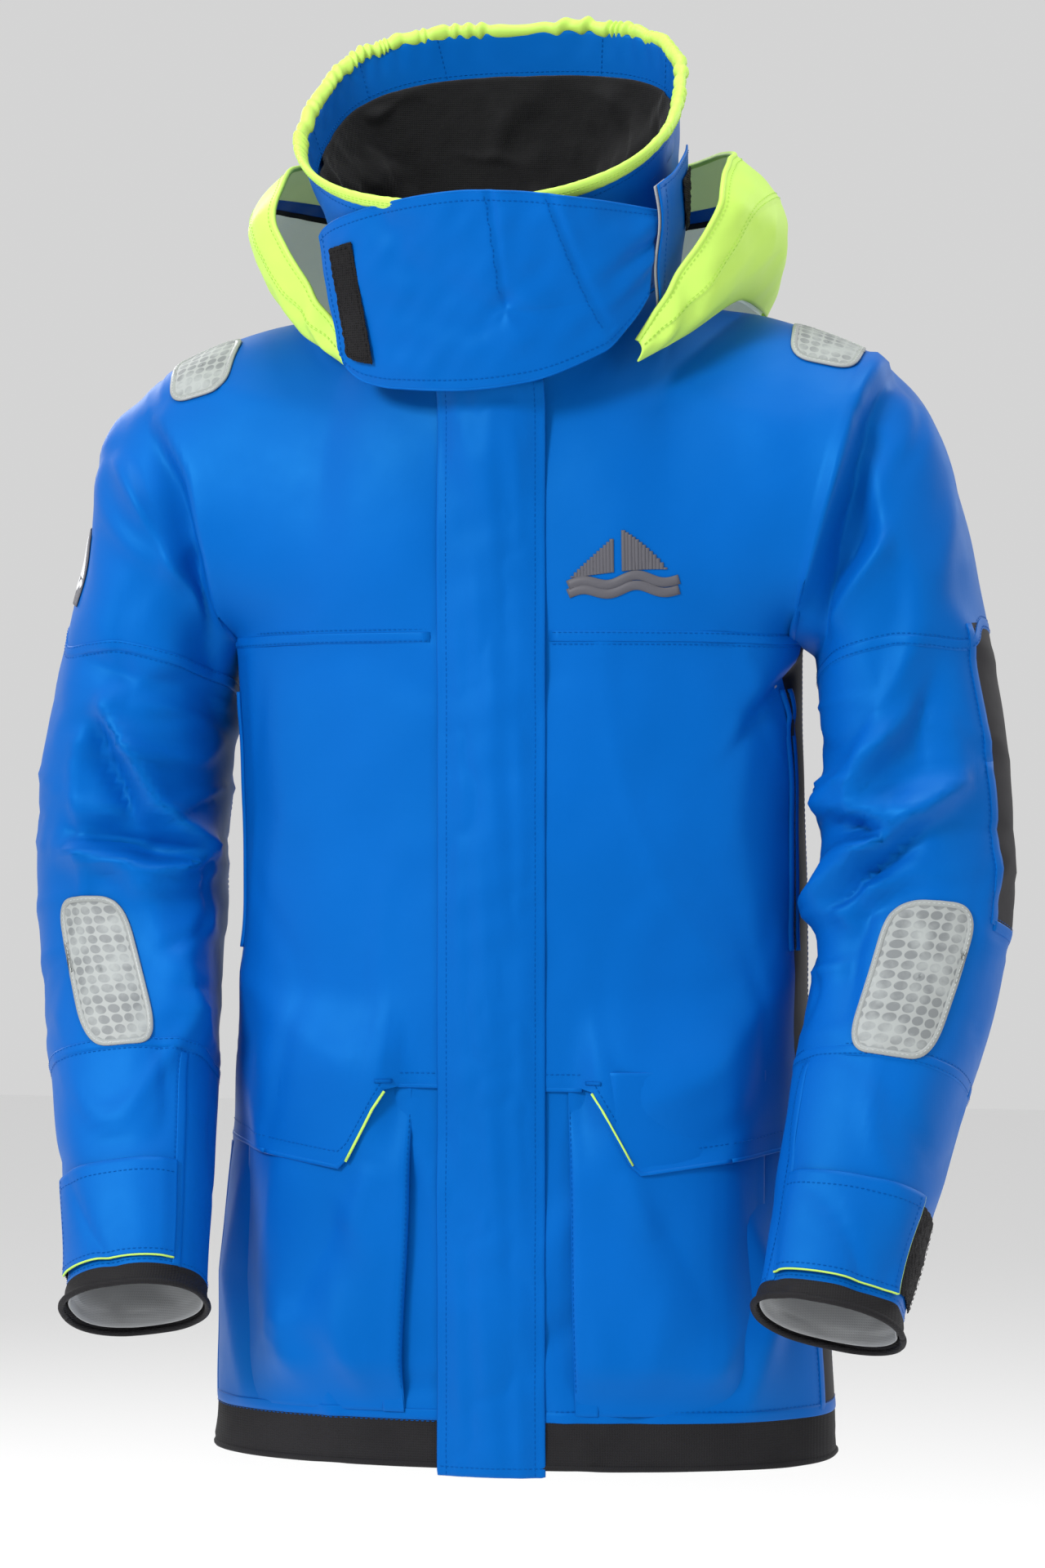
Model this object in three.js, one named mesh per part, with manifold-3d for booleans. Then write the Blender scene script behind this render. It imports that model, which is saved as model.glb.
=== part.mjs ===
// A foul weather jacket for offshore sailing, men's size L, as it stands when worn with its arms down.
// Millimetres. +X is the wearer's left, -Y the front, +Z up. The origin is the middle of the neck base,
// between the shoulders. Each piece of cloth is a thin closed solid on a shared surface: the body, the
// yokes, the sleeves and the collar are smooth lofts, and every panel is a patch of one of them.
import * as THREE from "three";
import { mergeVertices } from "three/addons/utils/BufferGeometryUtils.js";
import Module from "manifold-3d";

const wasm = await Module();
wasm.setup();

// Cloth and clearances
const CLOTH = 1.6;
const GAP = 0.4;
const OVERLAY_GAP = 1.1;
const SEAM = 0.35;
const LINING_DEPTH = 9.5;

// Heights of the body
const YOKE_Z = -214;
const BAND_TOP_Z = -727;
const HEM_Z = -760;
const PLACKET_BOTTOM_Z = -766;

// Body section: a superellipse, with the same depth all the way down
const BODY_POWER = 2.4;
const BODY_MIDDLE_Y = 5;
const BODY_HALF_DEPTH = 110;
const BODY_HALF_WIDTH = [
  [HEM_Z, 213],
  [BAND_TOP_Z, 213],
  [-650, 208],
  [-530, 199],
  [-430, 192],
  [YOKE_Z, 192],
];
const FRONT_EDGE_X = 17.2;
const SIDE_SEAM = THREE.MathUtils.degToRad(78);
const BACK_SEAM = Math.PI - SIDE_SEAM;
const FRONT_Y = BODY_MIDDLE_Y - BODY_HALF_DEPTH;

// Neck seam, where the collar stands on the yokes
const NECK = { halfWidth: 96, middleY: -12, halfDepth: 93, backZ: 28, drop: 84, sharpness: 4 };

// Collar rim: a nearly round ring that leans forward
const RIM = { halfWidth: 131, middleY: -50, halfDepth: 100, middleZ: 134, rise: 76, power: 2.25 };
const COLLAR_BULGE = 5;
const FACING_START = 0.8;

// Sleeve stations, from the armhole to the cuff's edge. Each row is the outer edge's x and z, the inner
// edge's x and z, the middle's y, half the depth, and how far the section tips forward in degrees.
const SLEEVE_POWER = 2.3;
const SLEEVE = [
  [248, -18, 192, -214, 5, 84, 0],
  [281, -58, 193.5, -226, 4, 84, 0],
  [297, -112, 196, -240, 3, 83, 2],
  [310, -168, 199, -256, 1, 82, 4],
  [323, -222, 202, -272, -1, 80, 6],
  [333, -280, 205, -308, -3, 77, 9],
  [338, -340, 206, -352, -6, 74, 12],
  [338, -398, 205, -398, -14, 71, 16],
  [332, -440, 203, -436, -28, 68, 19],
  [323, -482, 199, -472, -46, 65, 21],
  [311, -524, 194, -512, -68, 62, 23],
  [297, -580, 189, -566, -98, 57, 25],
  [283, -642, 184, -628, -133, 51, 25],
  [279, -663, 182.5, -649, -145, 50, 25],
];
const ELBOW = 6.72;
const CUFF_BAND_START = 12.42;
const CUFF_END = 13;

// Pockets
const CARGO = { innerX: 57, outerX: 176, mouthZ: -516, bottomZ: -721, proud: 10 };
const FLAP = { innerX: 66, outerX: 158, topZ: -456, cornerX: 93, innerZ: -513, cornerZ: -566, outerZ: -555 };
const HAND_POCKET = { topZ: -254, bottomZ: -416 };

// Front zip and storm flap
const PLACKET = { left: -34.6, right: 37.2, topZ: -62, backY: FRONT_Y - 6.2, thick: 1.6 };
const ZIP = { topZ: -68, bottomZ: -745, chainInner: 0.9, chainOuter: 3.3, tapeOuter: 16.6 };
const SLIDER = { topZ: -74, height: 12, halfWidth: 5, plate: 1 };

const FINISHES = {
  shellBlue: { color: 0x0a62c2, roughness: 0.55, metalness: 0 },
  shellBlack: { color: 0x1e1c20, roughness: 0.7, metalness: 0 },
  hiVis: { color: 0xc4ee4e, roughness: 0.6, metalness: 0 },
  fleece: { color: 0x19181a, roughness: 0.95, metalness: 0 },
  lining: { color: 0xa3a4a6, roughness: 0.8, metalness: 0 },
  reflective: { color: 0xbec2c2, roughness: 0.35, metalness: 0.2 },
  hookLoop: { color: 0x121114, roughness: 1, metalness: 0 },
  zip: { color: 0x17171a, roughness: 0.45, metalness: 0 },
  print: { color: 0x55555d, roughness: 0.5, metalness: 0 },
};

// ---- Curves and surfaces ----

const degrees = THREE.MathUtils.degToRad;
const mix = THREE.MathUtils.lerp;
const signedPower = (value, power) => Math.sign(value) * Math.abs(value) ** power;

// A smooth curve through [position, value] stations in rising order, which never overshoots them.
function profile(stations) {
  const last = stations.length - 1;
  const slope = (i) =>
    (stations[i + 1][1] - stations[i][1]) / (stations[i + 1][0] - stations[i][0]);
  const tangents = stations.map((_, i) => {
    if (i === 0) return slope(0);
    if (i === last) return slope(last - 1);
    const [before, after] = [slope(i - 1), slope(i)];
    return before * after > 0 ? (2 * before * after) / (before + after) : 0;
  });
  return (position) => {
    let i = 0;
    while (i < last - 1 && position > stations[i + 1][0]) i += 1;
    const [start, from] = stations[i];
    const [end, to] = stations[i + 1];
    const t = (position - start) / (end - start);
    const width = end - start;
    return (
      from * (1 + 2 * t) * (1 - t) ** 2 +
      to * t * t * (3 - 2 * t) +
      width * t * (1 - t) * (tangents[i] * (1 - t) - tangents[i + 1] * t)
    );
  };
}

const bodyHalfWidth = profile(BODY_HALF_WIDTH);

// The body below the yokes. The angle is 0 at the middle of the front and grows towards +X.
function body(angle, z) {
  const x = bodyHalfWidth(z) * signedPower(Math.sin(angle), 2 / BODY_POWER);
  const y = BODY_MIDDLE_Y - BODY_HALF_DEPTH * signedPower(Math.cos(angle), 2 / BODY_POWER);
  return new THREE.Vector3(x, y, z);
}

// The body's angle where its front is x away from the middle.
function bodyAngle(x, z) {
  return Math.asin((x / bodyHalfWidth(z)) ** (BODY_POWER / 2));
}

function neck(angle) {
  const towardsFront = (1 + Math.cos(angle)) / 2;
  return new THREE.Vector3(
    NECK.halfWidth * Math.sin(angle),
    NECK.middleY - NECK.halfDepth * Math.cos(angle),
    NECK.backZ - NECK.drop * towardsFront ** NECK.sharpness,
  );
}

function rim(angle) {
  const forward = signedPower(Math.cos(angle), 2 / RIM.power);
  return new THREE.Vector3(
    RIM.halfWidth * signedPower(Math.sin(angle), 2 / RIM.power),
    RIM.middleY - RIM.halfDepth * forward,
    RIM.middleZ - RIM.rise * forward,
  );
}

// The collar, from the neck seam at height 0 to the rim at height 1.
function collar(angle, height) {
  const point = neck(angle).lerp(rim(angle), height);
  const bulge = COLLAR_BULGE * Math.sin(Math.PI * Math.min(height, 1));
  point.x += bulge * Math.sin(angle);
  point.y -= bulge * Math.cos(angle);
  return point;
}

const sleeveColumns = SLEEVE[0].map((_, column) => profile(SLEEVE.map((row, k) => [k, row[column]])));

// The +X sleeve. The angle is 0 at the outer edge and 90 degrees at the front; station 0 is the armhole.
function sleeve(angle, station) {
  const [outerX, outerZ, innerX, innerZ, y, halfDepth, tip] = sleeveColumns.map((at) => at(station));
  const across = signedPower(Math.cos(angle), 2 / SLEEVE_POWER);
  const forward = signedPower(Math.sin(angle), 2 / SLEEVE_POWER) * halfDepth;
  return new THREE.Vector3(
    (outerX + innerX) / 2 + (across * (outerX - innerX)) / 2,
    y - forward * Math.cos(degrees(tip)),
    (outerZ + innerZ) / 2 + (across * (outerZ - innerZ)) / 2 + forward * Math.sin(degrees(tip)),
  );
}

// A patch between four edges. Along runs 0 to 1 on the bottom and top, up runs 0 to 1 on the two sides.
function patch(bottom, top, start, end) {
  return (along, up) => {
    const rise = bottom(along).lerp(top(along), up);
    const cross = start(up).lerp(end(up), along);
    const corners = bottom(0).lerp(bottom(1), along).lerp(top(0).lerp(top(1), along), up);
    return rise.add(cross).sub(corners);
  };
}

// The top edge of a yoke: round the neck, then out along the shoulder to the armhole's highest point.
const NECK_SHARE = 0.46;
const SHOULDER_ANGLE = degrees(97);
function yokeTop(fromAngle) {
  const shoulderStart = neck(SHOULDER_ANGLE);
  const shoulderEnd = sleeve(0, 0);
  return (along) => {
    if (along < NECK_SHARE) return neck(mix(fromAngle, SHOULDER_ANGLE, along / NECK_SHARE));
    const out = (along - NECK_SHARE) / (1 - NECK_SHARE);
    const point = shoulderStart.clone().lerp(shoulderEnd, out);
    point.z += 9 * Math.sin(Math.PI * out);
    return point;
  };
}

const frontYoke = (() => {
  const startAngle = bodyAngle(FRONT_EDGE_X, YOKE_Z);
  const neckAngle = Math.asin(FRONT_EDGE_X / NECK.halfWidth);
  const top = yokeTop(neckAngle);
  const base = patch(
    (along) => body(mix(startAngle, Math.PI / 2, along), YOKE_Z),
    top,
    (up) => body(startAngle, YOKE_Z).lerp(top(0), up),
    (up) => sleeve(Math.PI * (1 - up), 0),
  );
  return (along, up) => {
    const point = base(along, up);
    point.y -= 9 * Math.sin(Math.PI * along) * Math.sin(Math.PI * up);
    return point;
  };
})();

const backYoke = (() => {
  const top = yokeTop(Math.PI);
  const centre = profile([
    [0, body(Math.PI, YOKE_Z).y],
    [0.55, 118],
    [1, neck(Math.PI).y],
  ]);
  return patch(
    (along) => body(Math.PI - (along * Math.PI) / 2, YOKE_Z),
    top,
    (up) => new THREE.Vector3(0, centre(up), mix(YOKE_Z, neck(Math.PI).z, up)),
    (up) => sleeve(Math.PI * (1 + up), 0),
  );
})();

// ---- Solids ----

const NORMAL_STEP = 1e-3;

// The point at a distance from a surface, outwards where direction is 1.
function lifted(surface, u, v, distance, direction = 1) {
  const alongU = surface(u + NORMAL_STEP, v).sub(surface(u - NORMAL_STEP, v));
  const alongV = surface(u, v + NORMAL_STEP).sub(surface(u, v - NORMAL_STEP));
  const normal = alongU.cross(alongV).normalize();
  return surface(u, v).addScaledVector(normal, distance * direction);
}

function signedVolume(geometry) {
  const position = geometry.getAttribute("position");
  const [a, b, c] = [new THREE.Vector3(), new THREE.Vector3(), new THREE.Vector3()];
  let total = 0;
  for (let i = 0; i < geometry.index.count; i += 3) {
    a.fromBufferAttribute(position, geometry.index.getX(i));
    b.fromBufferAttribute(position, geometry.index.getX(i + 1));
    c.fromBufferAttribute(position, geometry.index.getX(i + 2));
    total += a.dot(b.cross(c));
  }
  return total / 6;
}

// Moves every vertex of a closed geometry by place, and turns its faces outwards.
function mapped(geometry, place) {
  geometry.deleteAttribute("normal");
  geometry.deleteAttribute("uv");
  const merged = mergeVertices(geometry, 1e-4);
  const position = merged.getAttribute("position");
  const point = new THREE.Vector3();
  for (let i = 0; i < position.count; i += 1) {
    point.fromBufferAttribute(position, i);
    const to = place(point.x, point.y, point.z);
    position.setXYZ(i, to.x, to.y, to.z);
  }
  if (signedVolume(merged) < 0) {
    const index = merged.index;
    for (let i = 0; i < index.count; i += 3) {
      const second = index.getX(i + 1);
      index.setX(i + 1, index.getX(i + 2));
      index.setX(i + 2, second);
    }
  }
  return merged;
}

// A sheet of cloth: u and v run over it from 0 to 1, w from 0 at its inner face to 1 at its outer face.
function sheet(columns, rows, place) {
  const box = new THREE.BoxGeometry(1, 1, 1, columns, rows, 1);
  box.translate(0.5, 0.5, 0.5);
  return mapped(box, place);
}

// A closed ring: the section's points go round it at every angle, as place(angle, across, along).
const RING_RADIUS = 100;
function ring(segments, section, place) {
  const points = section.map(([across, along]) => new THREE.Vector2(RING_RADIUS + across, along));
  points.push(points[0].clone());
  const lathe = new THREE.LatheGeometry(points, segments);
  return mapped(lathe, (x, y, z) => place(Math.atan2(x, z), Math.hypot(x, z) - RING_RADIUS, y));
}

// The section of a tube wall between two depths, with the rows that its curve needs.
function wall(inner, outer, start, end, rows) {
  const steps = Array.from({ length: rows + 1 }, (_, i) => mix(start, end, i / rows));
  return [...steps.map((at) => [inner, at]), ...steps.reverse().map((at) => [outer, at])];
}

function solid(geometry) {
  geometry.deleteAttribute("normal");
  geometry.deleteAttribute("uv");
  const merged = mergeVertices(geometry, 1e-4);
  return new wasm.Manifold(
    new wasm.Mesh({
      numProp: 3,
      vertProperties: merged.getAttribute("position").array,
      triVerts: new Uint32Array(merged.index.array),
    }),
  );
}

function geometryOf(manifold) {
  const mesh = manifold.getMesh();
  const geometry = new THREE.BufferGeometry();
  geometry.setAttribute("position", new THREE.BufferAttribute(mesh.vertProperties, 3));
  geometry.setIndex(new THREE.BufferAttribute(mesh.triVerts, 1));
  return geometry;
}

// A box from its two corners.
function block(low, high) {
  const size = high.map((value, i) => value - low[i]);
  const box = new THREE.BoxGeometry(...size);
  return box.translate(...low.map((value, i) => value + size[i] / 2));
}

// An outline in X and Y, raised along Z from bottom to top.
function prism(outline, bottom, top) {
  const shape = new THREE.Shape(outline.map(([x, y]) => new THREE.Vector2(x, y)));
  const raised = new THREE.ExtrudeGeometry(shape, { depth: top - bottom, bevelEnabled: false });
  return raised.translate(0, 0, bottom);
}

const mirrored = (side, point) => new THREE.Vector3(point.x * side, point.y, point.z);

const jacket = new THREE.Group();

function add(name, geometry, finish) {
  const mesh = new THREE.Mesh(geometry, new THREE.MeshStandardMaterial(FINISHES[finish]));
  mesh.name = name;
  jacket.add(mesh);
}

const SIDES = [
  ["L", 1],
  ["R", -1],
];

// ---- Body panels ----

// How far a panel's edge draws back from the side seam to leave the hand pocket's slit.
const SLIT = degrees(1.7);
const POCKET_ENDS = 14;
function slit(z) {
  const { topZ, bottomZ } = HAND_POCKET;
  const inside = Math.min(topZ - z, z - bottomZ) / POCKET_ENDS;
  return SLIT * THREE.MathUtils.smoothstep(inside, 0, 1);
}

// Heights of a body panel's rows: closer together beside the hand pocket.
const panelHeight = profile([
  [0, BAND_TOP_Z + SEAM],
  [0.5, HAND_POCKET.bottomZ - 4],
  [1, YOKE_Z - SEAM],
]);

function bodySheet(columns, rows, angleRange, heightRange, inner, outer) {
  return sheet(columns, rows, (u, v, w) => {
    const z = heightRange(v);
    const [from, to] = angleRange(z);
    return lifted(body, mix(from, to, u), z, mix(inner, outer, w));
  });
}

function frontPanel(side) {
  const range = (z) => [side * bodyAngle(FRONT_EDGE_X, z), side * (SIDE_SEAM - degrees(0.1) - slit(z))];
  return bodySheet(9, 10, range, panelHeight, -CLOTH, 0);
}

function sidePanel(side) {
  const range = (z) => [side * (SIDE_SEAM + degrees(0.1) + slit(z)), side * (BACK_SEAM - degrees(0.1))];
  return bodySheet(2, 10, range, panelHeight, -CLOTH, 0);
}

function backPanel() {
  const edge = BACK_SEAM + degrees(0.1);
  return bodySheet(12, 6, () => [edge, 2 * Math.PI - edge], panelHeight, -CLOTH, 0);
}

function hemBand(side) {
  const height = (v) => mix(HEM_Z, BAND_TOP_Z - SEAM, v);
  const range = (z) => [side * bodyAngle(FRONT_EDGE_X, z), side * (Math.PI - degrees(0.05))];
  return bodySheet(13, 1, range, height, -CLOTH - 0.4, 0.8);
}

function bodyLining() {
  const height = (v) => mix(BAND_TOP_Z + 6, YOKE_Z - 6, v);
  const edge = degrees(11);
  return bodySheet(22, 3, () => [edge, 2 * Math.PI - edge], height, -LINING_DEPTH - 1, -LINING_DEPTH);
}

function yokeFront(side) {
  const surface = (along, up) => mirrored(side, frontYoke(along, up));
  return sheet(12, 7, (u, v, w) =>
    lifted(surface, mix(0, 0.9925, u), mix(0.004, 0.985, v), mix(-CLOTH, 0, w), side),
  );
}

function yokeBack() {
  const surface = (across, up) => mirrored(Math.sign(across) || 1, backYoke(Math.abs(across), up));
  return sheet(16, 6, (u, v, w) =>
    lifted(surface, mix(-0.992, 0.992, u), mix(0.004, 0.98, v), mix(-CLOTH, 0, w), -1),
  );
}

// ---- Pockets ----

// Bellows pocket: a tray of cloth that stands proud of the front panel, open along its top under the flap.
function cargoPocket(side) {
  const tray = (inset, base, face, bottom, top) =>
    sheet(5, 4, (u, v, w) => {
      const z = mix(bottom, top, v);
      const from = bodyAngle(CARGO.innerX + inset, z);
      const to = bodyAngle(CARGO.outerX - inset, z);
      return lifted(body, side * mix(from, to, u), z, mix(base, face, w));
    });
  const outside = solid(tray(0, GAP, CARGO.proud, CARGO.bottomZ, CARGO.mouthZ));
  const inside = solid(
    tray(CLOTH, -1, CARGO.proud - CLOTH, CARGO.bottomZ + CLOTH, CARGO.mouthZ + 10),
  );
  return geometryOf(outside.subtract(inside));
}

// The flap's lower edge: a slanting end near the zip, then nearly level to the side.
function flapEdge(x) {
  if (x < FLAP.cornerX) {
    const down = (x - FLAP.innerX) / (FLAP.cornerX - FLAP.innerX);
    return mix(FLAP.innerZ, FLAP.cornerZ, down);
  }
  return mix(FLAP.cornerZ, FLAP.outerZ, (x - FLAP.cornerX) / (FLAP.outerX - FLAP.cornerX));
}

function cargoFlap(side) {
  const cornerShare = 0.4;
  return sheet(5, 4, (u, v, w) => {
    const x =
      u < cornerShare
        ? mix(FLAP.innerX, FLAP.cornerX, u / cornerShare)
        : mix(FLAP.cornerX, FLAP.outerX, (u - cornerShare) / (1 - cornerShare));
    const z = mix(flapEdge(x), FLAP.topZ, v);
    const stand = mix(CARGO.proud + OVERLAY_GAP, OVERLAY_GAP, THREE.MathUtils.smoothstep(v, 0.5, 1));
    return lifted(body, side * bodyAngle(x, z), z, stand + CLOTH * w);
  });
}

function handPocketZip(side) {
  const height = (v) => mix(HAND_POCKET.bottomZ - 6, HAND_POCKET.topZ + 6, v);
  const range = () => [side * (SIDE_SEAM - degrees(3.2)), side * (SIDE_SEAM + degrees(3.2))];
  return bodySheet(2, 3, range, height, -CLOTH - 2.6, -CLOTH - 1.4);
}

const HAND_SLIDER_HEIGHT = 11;
function handPocketSlider(side) {
  const top = HAND_POCKET.topZ - POCKET_ENDS;
  return sheet(1, 1, (u, v, w) => {
    const z = mix(top - HAND_SLIDER_HEIGHT, top, v);
    const angle = side * mix(SIDE_SEAM - degrees(0.7), SIDE_SEAM + degrees(0.7), u);
    return lifted(body, angle, z, mix(-CLOTH - 0.4, 1.4, w));
  });
}

function handPocketBag(side) {
  const height = (v) => mix(HAND_POCKET.bottomZ - 40, HAND_POCKET.topZ + 4, v);
  const range = () => [side * degrees(42), side * (SIDE_SEAM - degrees(4))];
  return bodySheet(4, 3, range, height, -6.8, -5.6);
}

// ---- Front closure ----

function stormFlap() {
  return block(
    [PLACKET.left, PLACKET.backY - PLACKET.thick, PLACKET_BOTTOM_Z],
    [PLACKET.right, PLACKET.backY, PLACKET.topZ],
  );
}

function innerFlap() {
  return block([-24, FRONT_Y + 5.2, BAND_TOP_Z], [26, FRONT_Y + 6.6, ZIP.topZ]);
}

// One half of the zip: a tape with the coil along its inner edge.
function zipHalf(side) {
  const coilFront = FRONT_Y - 1;
  const outline = [
    [ZIP.chainInner, coilFront],
    [ZIP.chainOuter, coilFront],
    [ZIP.chainOuter, FRONT_Y],
    [ZIP.tapeOuter, FRONT_Y],
    [ZIP.tapeOuter, FRONT_Y + 1],
    [ZIP.chainOuter, FRONT_Y + 1],
    [ZIP.chainOuter, FRONT_Y + 2],
    [ZIP.chainInner, FRONT_Y + 2],
  ].map(([x, y]) => [x * side, y]);
  return prism(outline, ZIP.bottomZ, ZIP.topZ);
}

// The slider: a plate in front of the coils and one behind, joined by a wedge between them, with a lug.
function zipSlider() {
  const front = FRONT_Y - 1.6;
  const back = FRONT_Y + 2.6;
  const { halfWidth, plate, topZ, height } = SLIDER;
  const wedge = 0.5;
  const right = [
    [halfWidth, front - plate],
    [halfWidth, front],
    [wedge, front],
    [wedge, back],
    [halfWidth, back],
    [halfWidth, back + plate],
  ];
  const left = right.map(([x, y]) => [-x, y]).reverse();
  const frame = solid(prism([...right, ...left], topZ - height, topZ));
  const lug = solid(block([-1.4, front - plate - 1.3, topZ - 8], [1.4, front - 0.5, topZ - 3]));
  return geometryOf(frame.add(lug));
}

// The puller hangs in front of the lug, and swings sideways on it.
const PULLER_LENGTH = 27;
function zipPuller() {
  const shape = new THREE.Shape();
  const radius = 3.4;
  shape.absarc(0, 0, radius, 0, Math.PI, false);
  shape.lineTo(-2.6, -PULLER_LENGTH + 3);
  shape.absarc(0, -PULLER_LENGTH + 3, 2.6, Math.PI, 2 * Math.PI, false);
  const plate = new THREE.ExtrudeGeometry(shape, { depth: 0.9, bevelEnabled: false, curveSegments: 5 });
  plate.rotateX(Math.PI / 2);
  return plate.translate(0, FRONT_Y - 4.25, SLIDER.topZ - 5.5);
}

function zipBox() {
  return block([-6, FRONT_Y - 2, ZIP.bottomZ - 11], [6, FRONT_Y + 3, ZIP.bottomZ - GAP]);
}

// ---- Collar and face guard ----

function collarTube(start, end, inner, outer, rows) {
  return ring(26, wall(inner, outer, start, end, rows), (angle, depth, height) =>
    lifted(collar, angle, height, depth),
  );
}

// The gathered elastic binding on the collar's rim. Along is millimetres above the rim.
function collarRim() {
  const binding = [
    [-5, 2.5],
    [-3.5, 0.8],
    [2, 0.8],
    [3.5, 3],
    [3, 9],
    [0, 11.5],
    [-3, 11],
    [-5, 8.5],
  ];
  return ring(30, binding, (angle, across, above) => {
    const up = rim(angle).sub(neck(angle));
    const height = above / up.length();
    return lifted(collar, angle, 1, across).addScaledVector(up, height);
  });
}

// The face guard: a wide tab sewn to the collar's +X side, which wraps round the front to a free end.
const GUARD_THICK = 1.8;
const guardTopAngle = profile([
  [0, degrees(50)],
  [1, degrees(-61)],
]);
const guardTopZ = profile([
  [0, 62],
  [0.45, 72],
  [0.7, 66],
  [1, 52],
]);
const guardBottomZ = profile([
  [0, -28],
  [0.35, -50],
  [0.62, -57],
  [0.9, -50],
  [1, -40],
]);
function guard(along, up) {
  const angle = guardTopAngle(along);
  const top = new THREE.Vector3(140 * Math.sin(angle), -50 - 112 * Math.cos(angle), guardTopZ(along));
  const x = mix(93, -112, along);
  const bottom = new THREE.Vector3(x, -130 + 18 * (x / 110) ** 2, guardBottomZ(along));
  return bottom.lerp(top, up);
}

function guardSheet(columns, rows, [from, to], [low, high], inner, outer) {
  return sheet(columns, rows, (u, v, w) =>
    lifted(guard, mix(from, to, u), mix(low, high, v), mix(inner, outer, w), -1),
  );
}

// The collar's +X front end, whose loose edge stands off the collar over the guard's root.
function endFlap(along, up) {
  const angle = mix(degrees(53), degrees(84), along);
  const bottom = mix(-8, 24, along);
  const top = mix(78, 112, along);
  const stand = mix(19, 2.2, along);
  const base = collar(angle, mix(0.18, 0.86, up));
  return new THREE.Vector3(
    base.x + stand * Math.sin(angle),
    base.y - stand * Math.cos(angle),
    mix(bottom, top, up),
  );
}

function collarEndFlap() {
  return sheet(4, 3, (u, v, w) => lifted(endFlap, u, v, mix(0, 1.5, w)));
}

function collarLoopTab() {
  return sheet(2, 2, (u, v, w) => lifted(endFlap, mix(0.56, 0.92, u), mix(0.5, 0.86, v), mix(1.8, 3.2, w)));
}

// A strap sewn inside the back of the neck, to hang the jacket up by.
const LOOP = { halfWidth: 32, topZ: 50, bottomZ: 30, strap: 5, frontY: 66.2, backY: 68 };
function hangerLoop() {
  const frame = solid(
    block([-LOOP.halfWidth, LOOP.frontY, LOOP.bottomZ], [LOOP.halfWidth, LOOP.backY, LOOP.topZ]),
  );
  const hole = solid(
    block(
      [-LOOP.halfWidth + LOOP.strap, LOOP.frontY - 1, LOOP.bottomZ + LOOP.strap],
      [LOOP.halfWidth - LOOP.strap, LOOP.backY + 1, LOOP.topZ - LOOP.strap],
    ),
  );
  return geometryOf(frame.subtract(hole));
}

// ---- Hood ----

// The stowed hood lies round the collar as an open roll. Each row is one section from the front tip to the
// middle of the back: its mouth edge, its outermost point and its lower edge, each as x, y, z.
const HOOD = [
  [98, -99, -22, 101, -102, -28, 98, -99, -35],
  [125, -101, 20, 140, -88, 4, 126, -71, -8],
  [152, -86, 74, 176, -55, 58, 158, -22, 22],
  [151, -36, 106, 181, -5, 64, 164, 34, 18],
  [128, 34, 116, 162, 68, 62, 146, 82, 4],
  [76, 86, 112, 96, 120, 56, 88, 124, -8],
  [0, 100, 110, 0, 134, 52, 0, 134, -12],
];
const hoodColumns = HOOD[0].map((_, column) => profile(HOOD.map((row, i) => [i / 6, row[column]])));
function hood(along, down) {
  const at = hoodColumns.map((column) => column(along));
  const mouth = new THREE.Vector3(...at.slice(0, 3));
  const outer = new THREE.Vector3(...at.slice(3, 6));
  const lower = new THREE.Vector3(...at.slice(6, 9));
  const control = outer.multiplyScalar(2).addScaledVector(mouth, -0.5).addScaledVector(lower, -0.5);
  return new THREE.QuadraticBezierCurve3(mouth, control, lower).getPoint(down);
}

function hoodSheet(side, columns, rows, [from, to], [high, low], inner, outer) {
  const surface = (along, down) => mirrored(side, hood(along, down));
  return sheet(columns, rows, (u, v, w) =>
    lifted(surface, mix(from, to, u), mix(high, low, v), mix(inner, outer, w), -side),
  );
}

// The hood's crown hangs down the back from the roll, folded flat in two layers.
const POUCH = { topZ: 22, bottomZ: -205, topY: 142, bulge: 24, halfWidth: 138, thick: 9 };
function hoodPouch() {
  return sheet(8, 5, (u, v, w) => {
    const across = mix(-1, 1, u);
    const down = 1 - v;
    const width = POUCH.halfWidth * (1 - 0.42 * down ** 2.2);
    const sag = (POUCH.topZ - POUCH.bottomZ) * (1 - 0.22 * across ** 2);
    const hang = Math.sin(Math.PI * down ** 0.8) * (1 - across ** 2);
    const y = POUCH.topY - 21 * across ** 2 + POUCH.bulge * hang;
    const edge = Math.min(1, 5 * Math.min(1 - Math.abs(across) + 0.06, down + 0.3, 1.06 - down));
    return new THREE.Vector3(across * width, y + mix(0, POUCH.thick, w) * edge, POUCH.topZ - down * sag);
  });
}

// ---- Sleeves ----

function sleeveSurface(side) {
  return (angle, station) => mirrored(side, sleeve(angle, station));
}

const SLEEVE_SEGMENTS = 24;
function sleeveTube(side, start, end, inner, outer, rows) {
  const surface = sleeveSurface(side);
  return ring(SLEEVE_SEGMENTS, wall(inner, outer, start, end, rows), (angle, depth, station) =>
    lifted(surface, angle, station, depth, side),
  );
}

function sleeveSheet(side, columns, rows, [fromAngle, toAngle], [start, end], inner, outer) {
  const surface = sleeveSurface(side);
  return sheet(columns, rows, (u, v, w) => {
    const angle = degrees(mix(fromAngle, toAngle, u));
    return lifted(surface, angle, mix(start, end, v), mix(inner, outer, w), side);
  });
}

function shoulderReflector(side) {
  const surface = (along, up) => mirrored(side, frontYoke(along, up));
  return sheet(3, 3, (u, v, w) =>
    lifted(surface, mix(0.74, 0.955, u), mix(0.8, 0.965, v), mix(OVERLAY_GAP, OVERLAY_GAP + 0.8, w), side),
  );
}

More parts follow.
